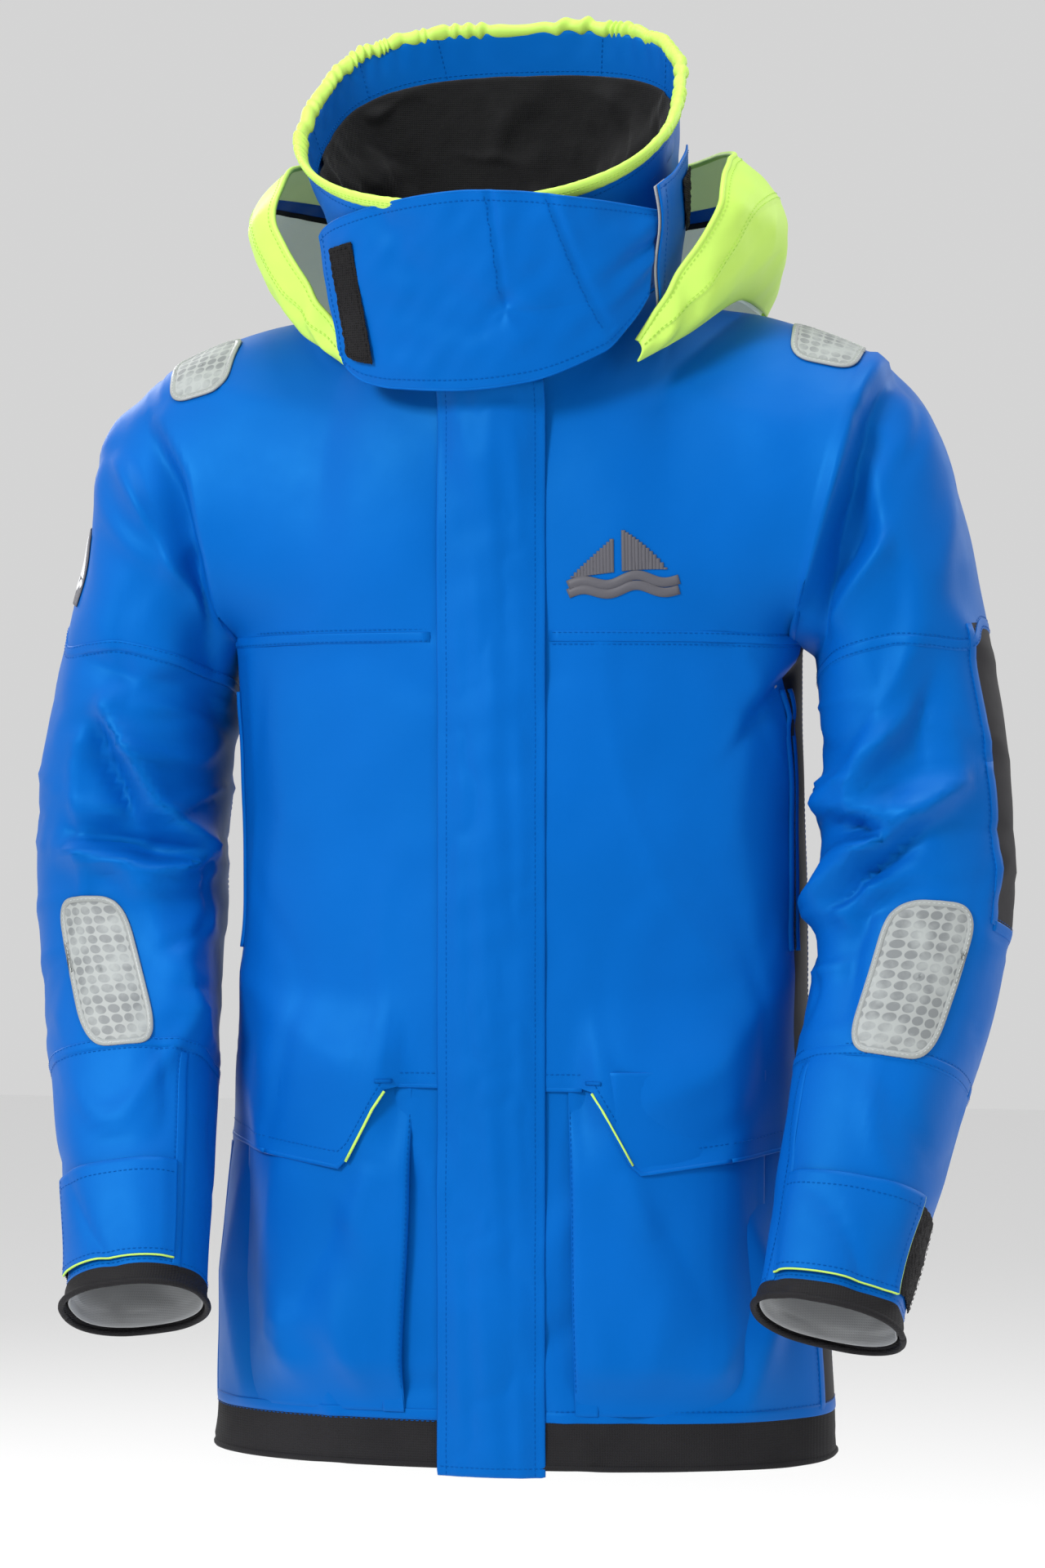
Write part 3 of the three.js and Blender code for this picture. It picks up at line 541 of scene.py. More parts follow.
# Each fold is a line in the front view: region, side, its points as x and z, how far it stands out (or in,
# below 0), and its width on the left and on the right of its direction, all in millimetres.
FOLDS = [
    ("A", "R", [(-239, -76), (-219, -111), (-209, -160), (-204, -203), (-205, -250)], -10, 6, 22),
    ("A", "R", [(-233, -68), (-210, -108), (-198, -157), (-198, -200), (-201, -250)], 6, 28, 11),
    ("S", "R", [(-273, -262), (-262, -281), (-241, -324)], 8, 14, 9),
    ("S", "R", [(-281, -270), (-270, -294), (-250, -334)], -6, 12, 14),
    ("S", "R", [(-301, -355), (-276, -362), (-259, -365), (-250, -378)], 9, 14, 8),
    ("S", "R", [(-298, -346), (-271, -348), (-233, -355), (-216, -360)], -9, 9, 8),
    ("S", "R", [(-241, -324), (-223, -343), (-211, -358), (-226, -367), (-240, -369)], 8, 9, 9),
    ("S", "R", [(-250, -376), (-237, -410), (-223, -453)], 5, 14, 14),
    ("S", "R", [(-266, -44), (-287, -88), (-300, -138)], 3, 26, 26),
    ("S", "R", [(-266, -90), (-236, -141), (-223, -168)], 4, 14, 12),
    ("S", "R", [(-228, -163), (-213, -179), (-207, -201)], 4, 10, 12),
    ("S", "R", [(-296, -222), (-259, -239), (-218, -245)], -3, 16, 16),
    ("S", "R", [(-216, -394), (-221, -432), (-205, -486)], 4, 14, 12),
    ("A", "L", [(258, -36), (248, -59), (235, -116), (220, -169), (209, -212), (168, -266)], -11, 24, 6),
    ("A", "L", [(252, -30), (239, -59), (226, -116), (213, -167), (200, -208), (190, -256)], 6, 11, 30),
    ("S", "L", [(242, -38), (284, -73), (298, -115), (308, -159)], 4, 22, 22),
    ("S", "L", [(268, -273), (251, -292), (237, -312), (222, -327)], 8, 9, 16),
    ("S", "L", [(305, -312), (288, -324), (274, -335), (245, -359), (218, -389)], 9, 8, 16),
    ("S", "L", [(280, -344), (248, -369), (223, -398)], -7, 9, 9),
    ("S", "L", [(221, -324), (245, -328), (267, -334)], 8, 12, 8),
    ("S", "L", [(230, -337), (251, -343), (267, -343)], -7, 8, 8),
    ("S", "L", [(275, -366), (235, -394), (169, -409)], 6, 9, 14),
    ("S", "L", [(273, -376), (247, -393), (239, -428), (239, -459)], -5, 12, 12),
    ("S", "L", [(259, -149), (235, -183), (217, -207)], 5, 12, 14),
    ("S", "L", [(246, -141), (227, -170)], -5, 12, 12),
    ("S", "L", [(293, -237), (278, -279), (283, -300)], -3, 16, 16),
    ("T", "R", [(-180, -576), (-190, -643), (-177, -718)], 5, 16, 18),
    ("T", "R", [(-148, -606), (-157, -705)], -4, 14, 14),
    ("T", "L", [(158, -585), (184, -648), (166, -719)], 5, 16, 18),
    ("T", "L", [(202, -592), (188, -683)], -4, 14, 14),
    ("T", "L", [(185, -441), (138, -504), (97, -525)], 3, 22, 26),
    ("T", "R", [(-192, -435), (-114, -485), (-84, -500)], 3, 22, 26),
    ("T", "L", [(172, -225), (157, -333), (169, -413)], 3, 30, 30),
    ("T", "R", [(-160, -223), (-146, -333), (-168, -416)], 3, 30, 30),
]
ARM = ("arm", "arm_back", "elbow", "elbow_back", "forearm")
# The parts that each region's folds may cross, and how much its heights are raised
FOLD_REGIONS = {
    "A": (("yoke_front", "front", "side", *ARM), 1.8),
    "S": (ARM, 3.0),
    "T": (("front", "lower", "flap", "side"), 1.8),
}
FOLD_WIDTH, FOLD_LIMIT = 0.8, 17


def near_patch(points):
    """1 under the stiff reflective patches on the forearms, 0 away from them."""
    across = np.minimum(np.abs(points[:, 0] - 276), np.abs(points[:, 0] + 266)) / 40
    return np.exp(-((across**2 + ((points[:, 2] + 440) / 64) ** 2) ** 2)) * (points[:, 1] < 0)


def fold_field(points, normals, member):
    """Signed fold height at every vertex, from the fold lines that its region takes part in."""
    total = np.zeros(len(points))
    flat = points[:, [0, 2]]
    facing = smooth(-normals[:, 1], -0.15, 0.3)
    for region, letter, line, height, left, right in FOLDS:
        line = np.array(line, float)
        parts, grown = FOLD_REGIONS[region]
        taking = np.any([member[f"{part}_{letter}"] for part in parts], axis=0)
        lengths = np.linalg.norm(np.diff(line, axis=0), axis=1)
        run = np.concatenate([[0], np.cumsum(lengths)])
        nearest = np.full(len(points), 1e9)
        signed, along = np.zeros((2, len(points)))
        for k in range(len(line) - 1):
            d = line[k + 1] - line[k]
            t = np.clip(((flat - line[k]) @ d) / (d @ d), 0, 1)
            off = flat - (line[k] + t[:, None] * d)
            distance = np.linalg.norm(off, axis=1)
            closer = distance < nearest
            nearest[closer] = distance[closer]
            cross = d[0] * off[:, 1] - d[1] * off[:, 0]
            signed[closer] = (np.sign(cross) * distance)[closer]
            along[closer] = ((run[k] + t * lengths[k]) / run[-1])[closer]
        width = FOLD_WIDTH * np.where(signed > 0, left, right)
        taper = np.sin(math.pi * np.clip(0.08 + 0.84 * along, 0, 1)) ** 0.6
        total += np.where(taking, grown * height * taper * facing * np.exp(-((nearest / width) ** 1.3)), 0)
    return np.clip(total, -FOLD_LIMIT, FOLD_LIMIT) * (1 - near_patch(points))


def part_vertices(shell):
    member = {}
    for part in set(shell.parts):
        mask = np.zeros(len(shell.points), bool)
        mask[shell.faces[shell.parts == part]] = True
        member[str(part)] = mask
    return member


def neighbours(shell):
    """Edges of the shell and the number of edges at each vertex."""
    f = shell.faces
    edges = np.concatenate([f[:, [0, 1]], f[:, [1, 2]], f[:, [2, 3]], f[:, [3, 0]]])
    edges = np.unique(np.sort(edges, axis=1), axis=0)
    count = np.bincount(edges.ravel(), minlength=len(shell.points))
    return edges, count


def relax(points, edges, count, weight, steps, faces):
    """Moves each vertex along its normal towards the middle of its neighbours."""
    size = len(points)
    for step in range(steps):
        if step % 6 == 0:
            normals = normals_of(points, faces)
        total = np.stack(
            [
                np.bincount(edges[:, 0], points[edges[:, 1], k], size)
                + np.bincount(edges[:, 1], points[edges[:, 0], k], size)
                for k in range(3)
            ],
            -1,
        )
        move = ((total / count[:, None] - points) * normals).sum(1)
        points = points + normals * (weight * move)[:, None]
    return points


GOAL_LEVELS, CLOTH_FRAMES = 40, 9
CLOTH = {
    "quality": 5,
    "mass": 0.25,
    "tension_stiffness": 30,
    "compression_stiffness": 30,
    "shear_stiffness": 12,
    "bending_stiffness": 2.5,
    "tension_damping": 15,
    "compression_damping": 15,
    "vertex_group_mass": "goal",
    "pin_stiffness": 1.0,
}
def settle(points, faces, rest, goal, frames):
    """Cloth simulation: the sheet is cut to the size of rest, starts at points, and is held there by goal."""
    mesh = bpy.data.meshes.new("settling")
    mesh.from_pydata((points * MM).tolist(), [], faces.tolist())
    cloth = add_object("settling", mesh)
    cloth.shape_key_add(name="Basis")
    cut = cloth.shape_key_add(name="cut")
    cut.data.foreach_set("co", (rest * MM).ravel())
    cut.value = 0
    group = cloth.vertex_groups.new(name="goal")
    levels = np.round(goal * GOAL_LEVELS).astype(int)
    for level in np.unique(levels):
        group.add(np.nonzero(levels == level)[0].tolist(), level / GOAL_LEVELS, "REPLACE")
    modifier = cloth.modifiers.new("cloth", "CLOTH")
    settings = modifier.settings
    for key, value in CLOTH.items():
        setattr(settings, key, value)
    settings.rest_shape_key = cut
    settings.effector_weights.gravity = 0.5
    modifier.collision_settings.use_collision = False
    modifier.collision_settings.use_self_collision = False
    modifier.point_cache.frame_start = 1
    modifier.point_cache.frame_end = frames
    for number in range(1, frames + 1):
        scene.frame_set(number)
    settled = cloth.evaluated_get(bpy.context.evaluated_depsgraph_get())
    moved = np.zeros(len(points) * 3)
    settled.data.vertices.foreach_get("co", moved)
    bpy.data.objects.remove(cloth)
    scene.frame_set(1)
    return moved.reshape(-1, 3) / MM

# ---- Materials ----

WAVE_SCALE = 314  # bands to the metre, for threads 1 mm apart
BUMP_DEPTH = 1.2 * MM


def new_material(name, **inputs):
    """A material, and a function that adds a node to it. Inputs are values or other nodes' outputs."""
    material = bpy.data.materials.new(name)
    material.use_nodes = True
    nodes, links = material.node_tree.nodes, material.node_tree.links

    def fill(node, inputs):
        for key, value in inputs.items():
            socket = node.inputs[key.replace("_", " ") if isinstance(key, str) else key]
            if isinstance(value, bpy.types.NodeSocket):
                links.new(value, socket)
            else:
                socket.default_value = value

    def add(kind, output, inputs, **settings):
        node = nodes.new("ShaderNode" + kind)
        for key, value in settings.items():
            setattr(node, key, value)
        fill(node, inputs)
        return node.outputs[output]

    shader = nodes["Principled BSDF"]
    fill(shader, inputs)
    return material, add, lambda **more: fill(shader, more)


def fabric(name, color, roughness, specular, sheen=0.0, weave=0.25, thread=0.8, crinkle=0.5, tone=0.06,
           crinkle_size=14, weave_depth=0.06, tint=(1, 1, 1), glow=0.0):
    """Coated cloth: a fine weave, a soft crinkle, and slow changes of tone and gloss. Its glow is painted light: the
    cloth emits a little of its own colour, lifting it out of shade.
    """
    material, add, shade = new_material(
        name,
        Specular_IOR_Level=specular,
        Specular_Tint=(*tint, 1),
        Sheen_Weight=sheen,
        Sheen_Roughness=0.4,
        # painted light: an emission in the cloth's own colour, which brightens it where shade falls
        Emission_Color=(*color, 1),
        Emission_Strength=glow,
    )
    place = add("TexCoord", "Object", {})

    def noise(scale, detail, rough=0.5):
        return add("TexNoise", "Fac", {"Scale": scale, "Detail": detail, "Roughness": rough, "Vector": place})

    def ramp(value, low, high):
        span = {"From Min": 0.3, "From Max": 0.7, "To Min": low, "To Max": high}
        return add("MapRange", "Result", {**span, "Value": value})

    color = np.array(color)
    dull, bright = np.clip([color * (1 - tone), color * (1 + tone) + tone * 0.012], 0, 1)
    tones = {"A": (*dull, 1), "B": (*bright, 1), "Factor": ramp(noise(7, 4), 0, 1)}
    shade(
        Base_Color=add("Mix", "Result", tones, data_type="RGBA"),
        Roughness=ramp(noise(23, 3), roughness - 0.05, roughness + 0.07),
    )
    wave = {"Scale": WAVE_SCALE / thread, "Distortion": 0.6, "Vector": place}
    threads = [add("TexWave", "Fac", wave, bands_direction=direction) for direction in "XZ"]
    woven = add("Math", 0, {0: threads[0], 1: threads[1]}, operation="MULTIPLY")
    fine = add("Bump", "Normal", {"Strength": weave, "Distance": weave_depth * MM, "Height": woven})
    height = noise(1000 / crinkle_size / 3, 4, 0.45)
    soft = {"Strength": crinkle, "Distance": BUMP_DEPTH, "Height": height, "Normal": fine}
    shade(Normal=add("Bump", "Normal", soft))
    return material


def reflective(name):
    """Silver reflective film: a lattice of printed rings on a satin ground, with a little scuffing."""
    material, add, shade = new_material(name, Specular_IOR_Level=0.35)
    cells = {"Scale": 1, "Randomness": 0, "Vector": add("TexCoord", "UV", {})}
    distance = add("TexVoronoi", "Distance", cells, voronoi_dimensions="2D")
    dots = add("ValToRGB", "Color", {"Fac": distance})
    stops = dots.node.color_ramp.elements
    stops[0].position, stops[0].color = 0.41, (0.185, 0.20, 0.205, 1)
    stops[1].position, stops[1].color = 0.46, (0.33, 0.35, 0.345, 1)
    scuff = add("TexNoise", "Fac", {"Scale": 60, "Detail": 5, "Vector": add("TexCoord", "Object", {})})
    blotch = add("MapRange", "Result", {"From Min": 0.42, "From Max": 0.72, "Value": scuff})
    ground = {"A": dots, "B": (0.36, 0.385, 0.38, 1), "Factor": blotch}
    shade(
        Base_Color=add("Mix", "Result", ground, data_type="RGBA"),
        Roughness=add("MapRange", "Result", {"To Min": 0.42, "To Max": 0.62, "Value": scuff}),
        Normal=add("Bump", "Normal", {"Strength": 0.3, "Distance": 0.3 * MM, "Height": dots}),
    )
    return material


BLUE = (0.0003, 0.094, 0.415)
GLOSS = (0.05, 0.55, 1.0)
YELLOW = (0.52, 0.80, 0.12)
# Each look: its slot, then its material's name, color, roughness and specular level, and what else is its own
LOOKS = {
    "blue": ("blue_shell", "blue_shell", BLUE, 0.5, 0.5, dict(tint=GLOSS)),
    "blue_dark": ("blue_shell", "blue_thread", (0.0005, 0.085, 0.37), 0.6, 0.3, dict(crinkle=0.1, tint=GLOSS)),
    "black": ("black_shell", "black_shell", (0.011, 0.010, 0.013), 0.66, 0.3, dict(tone=0.12)),
    "rib": ("black_shell", "black_rib", (0.010, 0.0095, 0.011), 0.75, 0.22,
            dict(tone=0.2, thread=1.6, weave=0.9, weave_depth=0.3)),
    "yellow": ("hi_vis_shell", "hi_vis_shell", YELLOW, 0.5, 0.35, dict(tone=0.03, crinkle=0.4)),
    # The hood's inner yellow, with painted light: its colour is set lighter than the yellow and it glows a little, to
    # lift the shade inside the hood.
    "yellow_inside": ("hi_vis_shell", "hi_vis_inside", (0.72, 0.90, 0.36), 0.6, 0.3,
                      dict(tone=0.05, crinkle=0.4, glow=0.10)),
    "yellow_thread": ("hi_vis_shell", "hi_vis_thread", (0.40, 0.66, 0.08), 0.6, 0.3, dict(crinkle=0.1)),
    "fleece": ("fleece", "fleece", (0.010, 0.010, 0.0105), 0.9, 0.2,
               dict(sheen=0.1, tone=0.3, crinkle=1.0, crinkle_size=4, weave=0.6, thread=1.4, weave_depth=0.4)),
    "lining": ("lining", "lining", (0.34, 0.35, 0.36), 0.7, 0.3, dict(thread=1.6, weave=0.5, weave_depth=0.2)),
    "hook": ("hook_and_loop", "hook_and_loop", (0.0065, 0.006, 0.007), 0.85, 0.25,
             dict(tone=0.5, crinkle=1.0, crinkle_size=1.2, weave=1.0, thread=1.5, weave_depth=0.8)),
    "zip": ("zip_plastic", "zip_coil", (0.012, 0.012, 0.014), 0.38, 0.5, dict(tone=0.1, crinkle=0.0, thread=1.0)),
    "tape": ("zip_plastic", "zip_tape", (0.010, 0.010, 0.012), 0.8, 0.3,
             dict(tone=0.2, crinkle=0.2, thread=1.2, weave=0.8)),
    # The hood's lining, with painted light: its colour is set lighter than the pale cloth and it glows a little, to
    # lift the shade inside the hood.
    "hood_lining": ("lining", "hood_lining", (0.78, 0.84, 0.66), 0.7, 0.3, dict(thread=1.6, weave=0.5, glow=0.16)),
    "reflective_thread": ("reflective_tape", "reflective_thread", (0.50, 0.53, 0.52), 0.5, 0.3, dict(crinkle=0.1)),
    "print": ("print", "print_patch", (0.085, 0.084, 0.100), 0.5, 0.4, dict(tone=0.05, crinkle=0.2)),
    "print_light": ("print", "print_light", (0.75, 0.76, 0.77), 0.5, 0.4, dict(tone=0.03, crinkle=0.2)),
    "border": ("reflective_tape", "reflective_border", (0.30, 0.32, 0.315), 0.4, 0.5, dict(tone=0.08, crinkle=0.2)),
}
MATERIALS = {look: fabric(*row[1:-1], **row[-1]) for look, row in LOOKS.items()}
SLOTS = {look: row[0] for look, row in LOOKS.items()}
MATERIALS["reflective"], SLOTS["reflective"] = reflective("reflective_film"), "reflective_tape"

# ---- Making pieces ----


def make(name, points, faces, look, rides, replaces=(), normals=None, uv=None):
    """A smooth mesh from millimetre points. rides is a body, or (body, body, start, end) for cloth at a joint, which
    is only baked in place and rides on neither.
    """
    mesh = bpy.data.meshes.new(name)
    mesh.from_pydata((np.asarray(points) * MM).tolist(), [], [list(map(int, f)) for f in faces])
    mesh.polygons.foreach_set("use_smooth", [True] * len(mesh.polygons))
    if uv is not None:
        layer = mesh.uv_layers.new(name="map")
        corners = np.zeros(len(mesh.loops), int)
        mesh.loops.foreach_get("vertex_index", corners)
        layer.data.foreach_set("uv", np.asarray(uv, float)[corners].ravel())
    if normals is not None:
        mesh.normals_split_custom_set_from_vertices(normals.tolist())
    mesh.materials.append(MATERIALS[look])
    made = add_object(name, mesh)
    if isinstance(rides, str):
        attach(made, rides)
    else:
        a, b, start, end = rides
        tuple(np.array(start) * MM)
        tuple(np.array(end) * MM)
        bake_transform(made)
    if replaces:
        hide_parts(*replaces)
    return made


def grid_normals(points, wrap=False):
    along = np.gradient(points, axis=0)
    if wrap:
        across = (np.roll(points, -1, axis=1) - np.roll(points, 1, axis=1)) / 2
    else:
        across = np.gradient(points, axis=1)
    return unit(np.cross(along, across))


def around_edge(values):
    """The values on a grid's border, in order round it."""
    return np.concatenate([values[0], values[1:, -1], values[-1, :-1][::-1], values[1:-1, 0][::-1]])


def slab(name, points, thickness, look, rides, replaces=(), away=(0, 0, 0), wrap=False, uv=None):
    """A sheet of cloth with a thickness and rounded edges, whose outer face is the grid of points (rows,
    columns). It looks away from the point away, or along the directions away. uv is a texture position at
    every point."""
    rows, columns = points.shape[:2]
    size = rows * columns
    away = np.asarray(away, float)
    normals = grid_normals(points, wrap)
    sign = 1 if np.sum(normals * (points - away if away.shape == (3,) else away)) > 0 else -1
    outer, inner = points.reshape(-1, 3), (points - normals * sign * thickness).reshape(-1, 3)
    index = np.arange(size).reshape(rows, columns)
    here = np.arange(columns if wrap else columns - 1)
    right = (here + 1) % columns
    quads = np.stack([index[:-1, here], index[1:, here], index[1:, right], index[:-1, right]], -1)
    quads = quads.reshape(-1, 4)[:, ::sign]
    faces = [np.stack([quads, quads[:, ::-1] + size], 1).reshape(-1, 4)]
    beyond = np.zeros_like(points)
    beyond[-1] = points[-1] - points[-2]
    if not wrap:
        beyond[:-1, 0] = points[:-1, 0] - points[:-1, 1]
        beyond[:, -1] = points[:, -1] - points[:, -2]
    beyond[0] = points[0] - points[1]
    if wrap:
        rims = [(index[0], beyond[0]), (index[-1][::-1], beyond[-1][::-1])]
    else:
        rims = [(around_edge(index), around_edge(beyond))]
    vertices = [outer, inner]
    base = 2 * size
    for rim_index, out in rims:
        vertices.append((outer[rim_index] + inner[rim_index]) / 2 + unit(out) * thickness * 0.45)
        numbers = base + np.arange(len(rim_index))
        base += len(rim_index)
        after, numbers_after = np.roll(rim_index, -1), np.roll(numbers, -1)
        first = np.stack([rim_index, after, numbers_after, numbers], -1)
        second = np.stack([numbers, numbers_after, after + size, rim_index + size], -1)
        faces.append(np.stack([first, second], 1).reshape(-1, 4)[:, ::sign])
    coords = None
    if uv is not None:
        flat = np.asarray(uv, float).reshape(-1, 2)
        coords = np.concatenate([flat, flat] + [flat[rim_index] for rim_index, _ in rims])
    return make(name, np.concatenate(vertices), np.concatenate(faces), look, rides, replaces, uv=coords)


def sideways_of(path, normals):
    """Unit directions across a path, on its surface."""
    return unit(np.cross(unit(np.gradient(path, axis=0)), normals))


BOX_FACES = [(0, 1, 3, 2), (4, 6, 7, 5), (0, 4, 5, 1), (2, 3, 7, 6), (0, 2, 6, 4), (1, 5, 7, 3)]
STITCH_FACES = [
    face
    for j, n in ((0, 1), (1, 2), (2, 3), (3, 0))
    for face in ((0, 1 + n, 1 + j), (1 + j, 1 + n, 5 + n, 5 + j), (9, 5 + j, 5 + n))
]


class Batch:
    """Many small solids joined into one piece."""

    def __init__(self):
        self.points, self.faces, self.count = [], [], 0

    def add(self, points, faces):
        self.points.append(np.asarray(points, float))
        self.faces.extend([tuple(int(i) + self.count for i in f) for f in faces])
        self.count += len(points)

    def make(self, name, look, rides, replaces=()):
        return make(name, np.concatenate(self.points), self.faces, look, rides, replaces)

    def stitches(self, path, normals, pitch=3.6, length=2.5, radius=0.26, lift=0.3):
        """A row of stitches along a path on a surface."""
        run = np.concatenate([[0], np.cumsum(np.linalg.norm(np.diff(path, axis=0), axis=1))])
        starts = np.arange(pitch / 2, run[-1] - length, pitch)
        up = unit(read_off(starts, run, normals))
        a = read_off(starts, run, path) + up * lift
        b = read_off(starts + length, run, path) + up * lift
        d = unit(b - a)
        s = np.cross(d, up)
        ring = [s * radius, up * radius, -s * radius, -up * radius * 0.6]
        points = [a] + [a + d * 0.5 + r for r in ring] + [b - d * 0.5 + r for r in ring] + [b]
        for stitch in np.stack(points, 1):
            self.add(stitch, STITCH_FACES)

    def ribbon(self, path, normals, section):
        """A closed section of (across, up) points swept along a path on a surface, with capped ends."""
        side = sideways_of(path, normals)
        rows, count = len(path), len(section)
        points = np.stack([path + side * across + normals * up for across, up in section], 1).reshape(-1, 3)
        faces = []
        for r in range(rows - 1):
            for k in range(count):
                j = (k + 1) % count
                faces.append((r * count + k, (r + 1) * count + k, (r + 1) * count + j, r * count + j))
        faces.append(tuple(range(count)))
        faces.append(tuple((rows - 1) * count + k for k in reversed(range(count))))
        self.add(points, faces)


def sew(name, rides, rows, look="blue_dark", **how):
    """Rows of stitches, each given as a path and its normals."""
    thread = Batch()
    for path, normals in rows:
        thread.stitches(path, normals, **how)
    thread.make(name, look, rides)


def strip(name, path, normals, section, look, rides, replaces=()):
    """One section swept along one path."""
    swept = Batch()
    swept.ribbon(path, normals, section)
    swept.make(name, look, rides, replaces)


LAP = [(-4.0, -0.5), (-3.6, 0.25), (-1.2, 0.55), (2.6, 0.6), (3.3, 0.45), (3.5, -0.5)]


def cord_section(radius, sides=8, up=0.0):
    angles = np.linspace(0, 2 * math.pi, sides, endpoint=False)
    return [(radius * math.cos(t), up + radius * math.sin(t)) for t in angles]


# ---- Shape of the cloth ----


def sample(values, index, rows, columns, wrap=False):
    """Values at fractional rows and columns of a grid of vertex numbers."""
    rows, columns = np.broadcast_arrays(np.asarray(rows, float), np.asarray(columns, float))
    count = index.shape[1]
    r = np.clip(np.floor(rows).astype(int), 0, index.shape[0] - 2)
    if wrap:
        c = np.floor(columns).astype(int)
        across = columns - c
        c, d = c % count, (c + 1) % count
    else:
        c = np.clip(np.floor(columns).astype(int), 0, count - 2)
        across, d = columns - c, c + 1
    down, across = (rows - r)[..., None], across[..., None]
    upper = mix(values[index[r, c]], values[index[r, d]], across)
    lower = mix(values[index[r + 1, c]], values[index[r + 1, d]], across)
    return mix(upper, lower, down)


FLAP_PROUD = 11.5  # how far the flap stands off over the bellows pocket


def crumples(points, facing, sleeves, yoke):
    """Crumples: across the sleeves at the elbows, slanting above and below them, and few on the body."""
    x, z = np.abs(points[:, 0]), points[:, 2]
    elbow = smooth(-z, 230, 300) * (1 - smooth(-z, 410, 500))
    inner = 1 - smooth(x, 250, 320) * 0.6
    low = smooth(-z, 380, 640)
    outer = smooth(x, 70, 190)
    body_part = ~sleeves & ~yoke
    total = np.zeros(len(points))
    for where, height, stretch, scale, seed, sharp in (
        (sleeves, 5.0 * elbow * inner, (0.55, 0.7, 1.5), 115, 12, 0.17),
        (sleeves, -4.0 * elbow * inner, (0.6, 0.7, 1.4), 100, 13, 0.14),
        (sleeves, 3.2, (1.2, 0.8, 0.75), 170, 14, 0.11),
        (sleeves, -2.2 * (1 - elbow), (1.1, 0.9, 0.9), 150, 15, 0.12),
        (body_part, 1.2 + 2.4 * low, (1.15, 0.8, 0.6), 260, 16, 0.10),
        (body_part, -0.8 - 1.8 * low, (1.0, 0.8, 0.7), 230, 17, 0.09),
        (yoke, 1.6 * outer, (1.0, 1.0, 0.8), 200, 18, 0.11),
    ):
        total += np.where(where, height * ridge(points, stretch, scale, seed, sharp), 0)
    return total * mix(0.35, 1, facing) * (1 - near_patch(points))


def shape_cloth():
    """The shell as worn: corners eased, folds, then a short cloth simulation that tightens and drapes them."""
    member = part_vertices(shell)
    edges, count = neighbours(shell)
    corners = shell.faces[:, [0, 1, 1, 2, 2, 3, 3, 0]].reshape(-1, 2)
    pairs, uses = np.unique(np.sort(corners, axis=1), axis=0, return_counts=True)
    border = np.zeros(len(shell.points), bool)
    border[pairs[uses == 1]] = True
    yoke = np.any([member[f"yoke_{part}_{letter}"] for part in ("front", "back") for letter in "LR"], axis=0)
    sleeves = np.any([member[f"{part}_{letter}"] for part in ARM for letter in "LR"], axis=0)
    ease = np.where(border, 0, np.where(yoke | sleeves, 0.5, 0.15))
    points = relax(shell.points.copy(), edges, count, ease, 90, shell.faces)
    normals = normals_of(points, shell.faces)
    points += normals * fold_field(points, normals, member)[:, None]

    # broad unevenness of worn cloth, then crumples
    loose = np.where(border, 0.0, 1.0)
    wander = stretched_noise(points, (1.6, 1.0, 0.75), 150, 3) * 2.2
    wander += stretched_noise(points, (1.5, 1, 0.7), 60, 4) * 0.7
    points += normals * (wander * np.where(sleeves, 1.0, np.where(yoke, 0.5, 0.7)) * loose)[:, None]
    facing = smooth(-normals[:, 1], -0.2, 0.45)
    points += normals * (crumples(points, facing, sleeves, yoke) * loose)[:, None]

    # the flap and the overlay's end stand off over the bellows pocket
    x, z = np.abs(points[:, 0]), points[:, 2]
    overlay = np.zeros(len(points), bool)
    for letter in "LR":
        overlay[shell.overlay[letter]] = True
    stand = smooth(-z, 446, 506) * smooth(x, 57, 74) * (1 - smooth(x, 150, 182)) * FLAP_PROUD
    points += normals * np.where(overlay, stand, 0)[:, None]
    points = relax(points, edges, count, np.where(border, 0, 0.25), 1, shell.faces)
    goal = np.full(len(points), 0.45)
    goal[sleeves] = 0.75
    goal[member["lower_L"] | member["lower_R"] | member["flap_L"] | member["flap_R"]] = 0.7
    for ring in shell.rings.values():
        rows = np.broadcast_to(np.arange(len(ring))[:, None], ring.shape)
        held = 1 - smooth(rows, 0, 12) * (1 - smooth(rows, CUFF_ROW - 22, CUFF_ROW))
        goal[ring] = np.maximum(goal[ring], held)
    goal[border | overlay & (z < -500)] = 1
    settled = settle(points, shell.faces, points * np.array([1.015, 1.015, 1.03]), goal, CLOTH_FRAMES)
    points = mix(points, settled, np.where(border, 0, 0.8)[:, None])
    return points, normals_of(points, shell.faces)


skin, skin_normals = shape_cloth()
tree = BVHTree.FromPolygons(skin.tolist(), shell.faces.tolist())


def on_skin(index):
    """Points and normals of the finished shell at vertex numbers."""
    return skin[index], skin_normals[index]


def on_front(x, z):
    """Where level rays from in front meet the shell, with smooth normals there. Rays that miss keep their start."""
    at = stack(x, -400.0, z)
    up = np.broadcast_to(np.array([0, -1.0, 0]), at.shape).copy()
    for i, start in enumerate(at.tolist()):
        location, _, face, _ = tree.ray_cast(Vector(start), Vector((0, 1, 0)))
        if location is not None:
            corner = shell.faces[face]
            weight = 1 / (np.linalg.norm(skin[corner] - np.array(location), axis=1) + 0.3) ** 2
            at[i], up[i] = location, (skin_normals[corner] * weight[:, None]).sum(0)
    return at, unit(up)


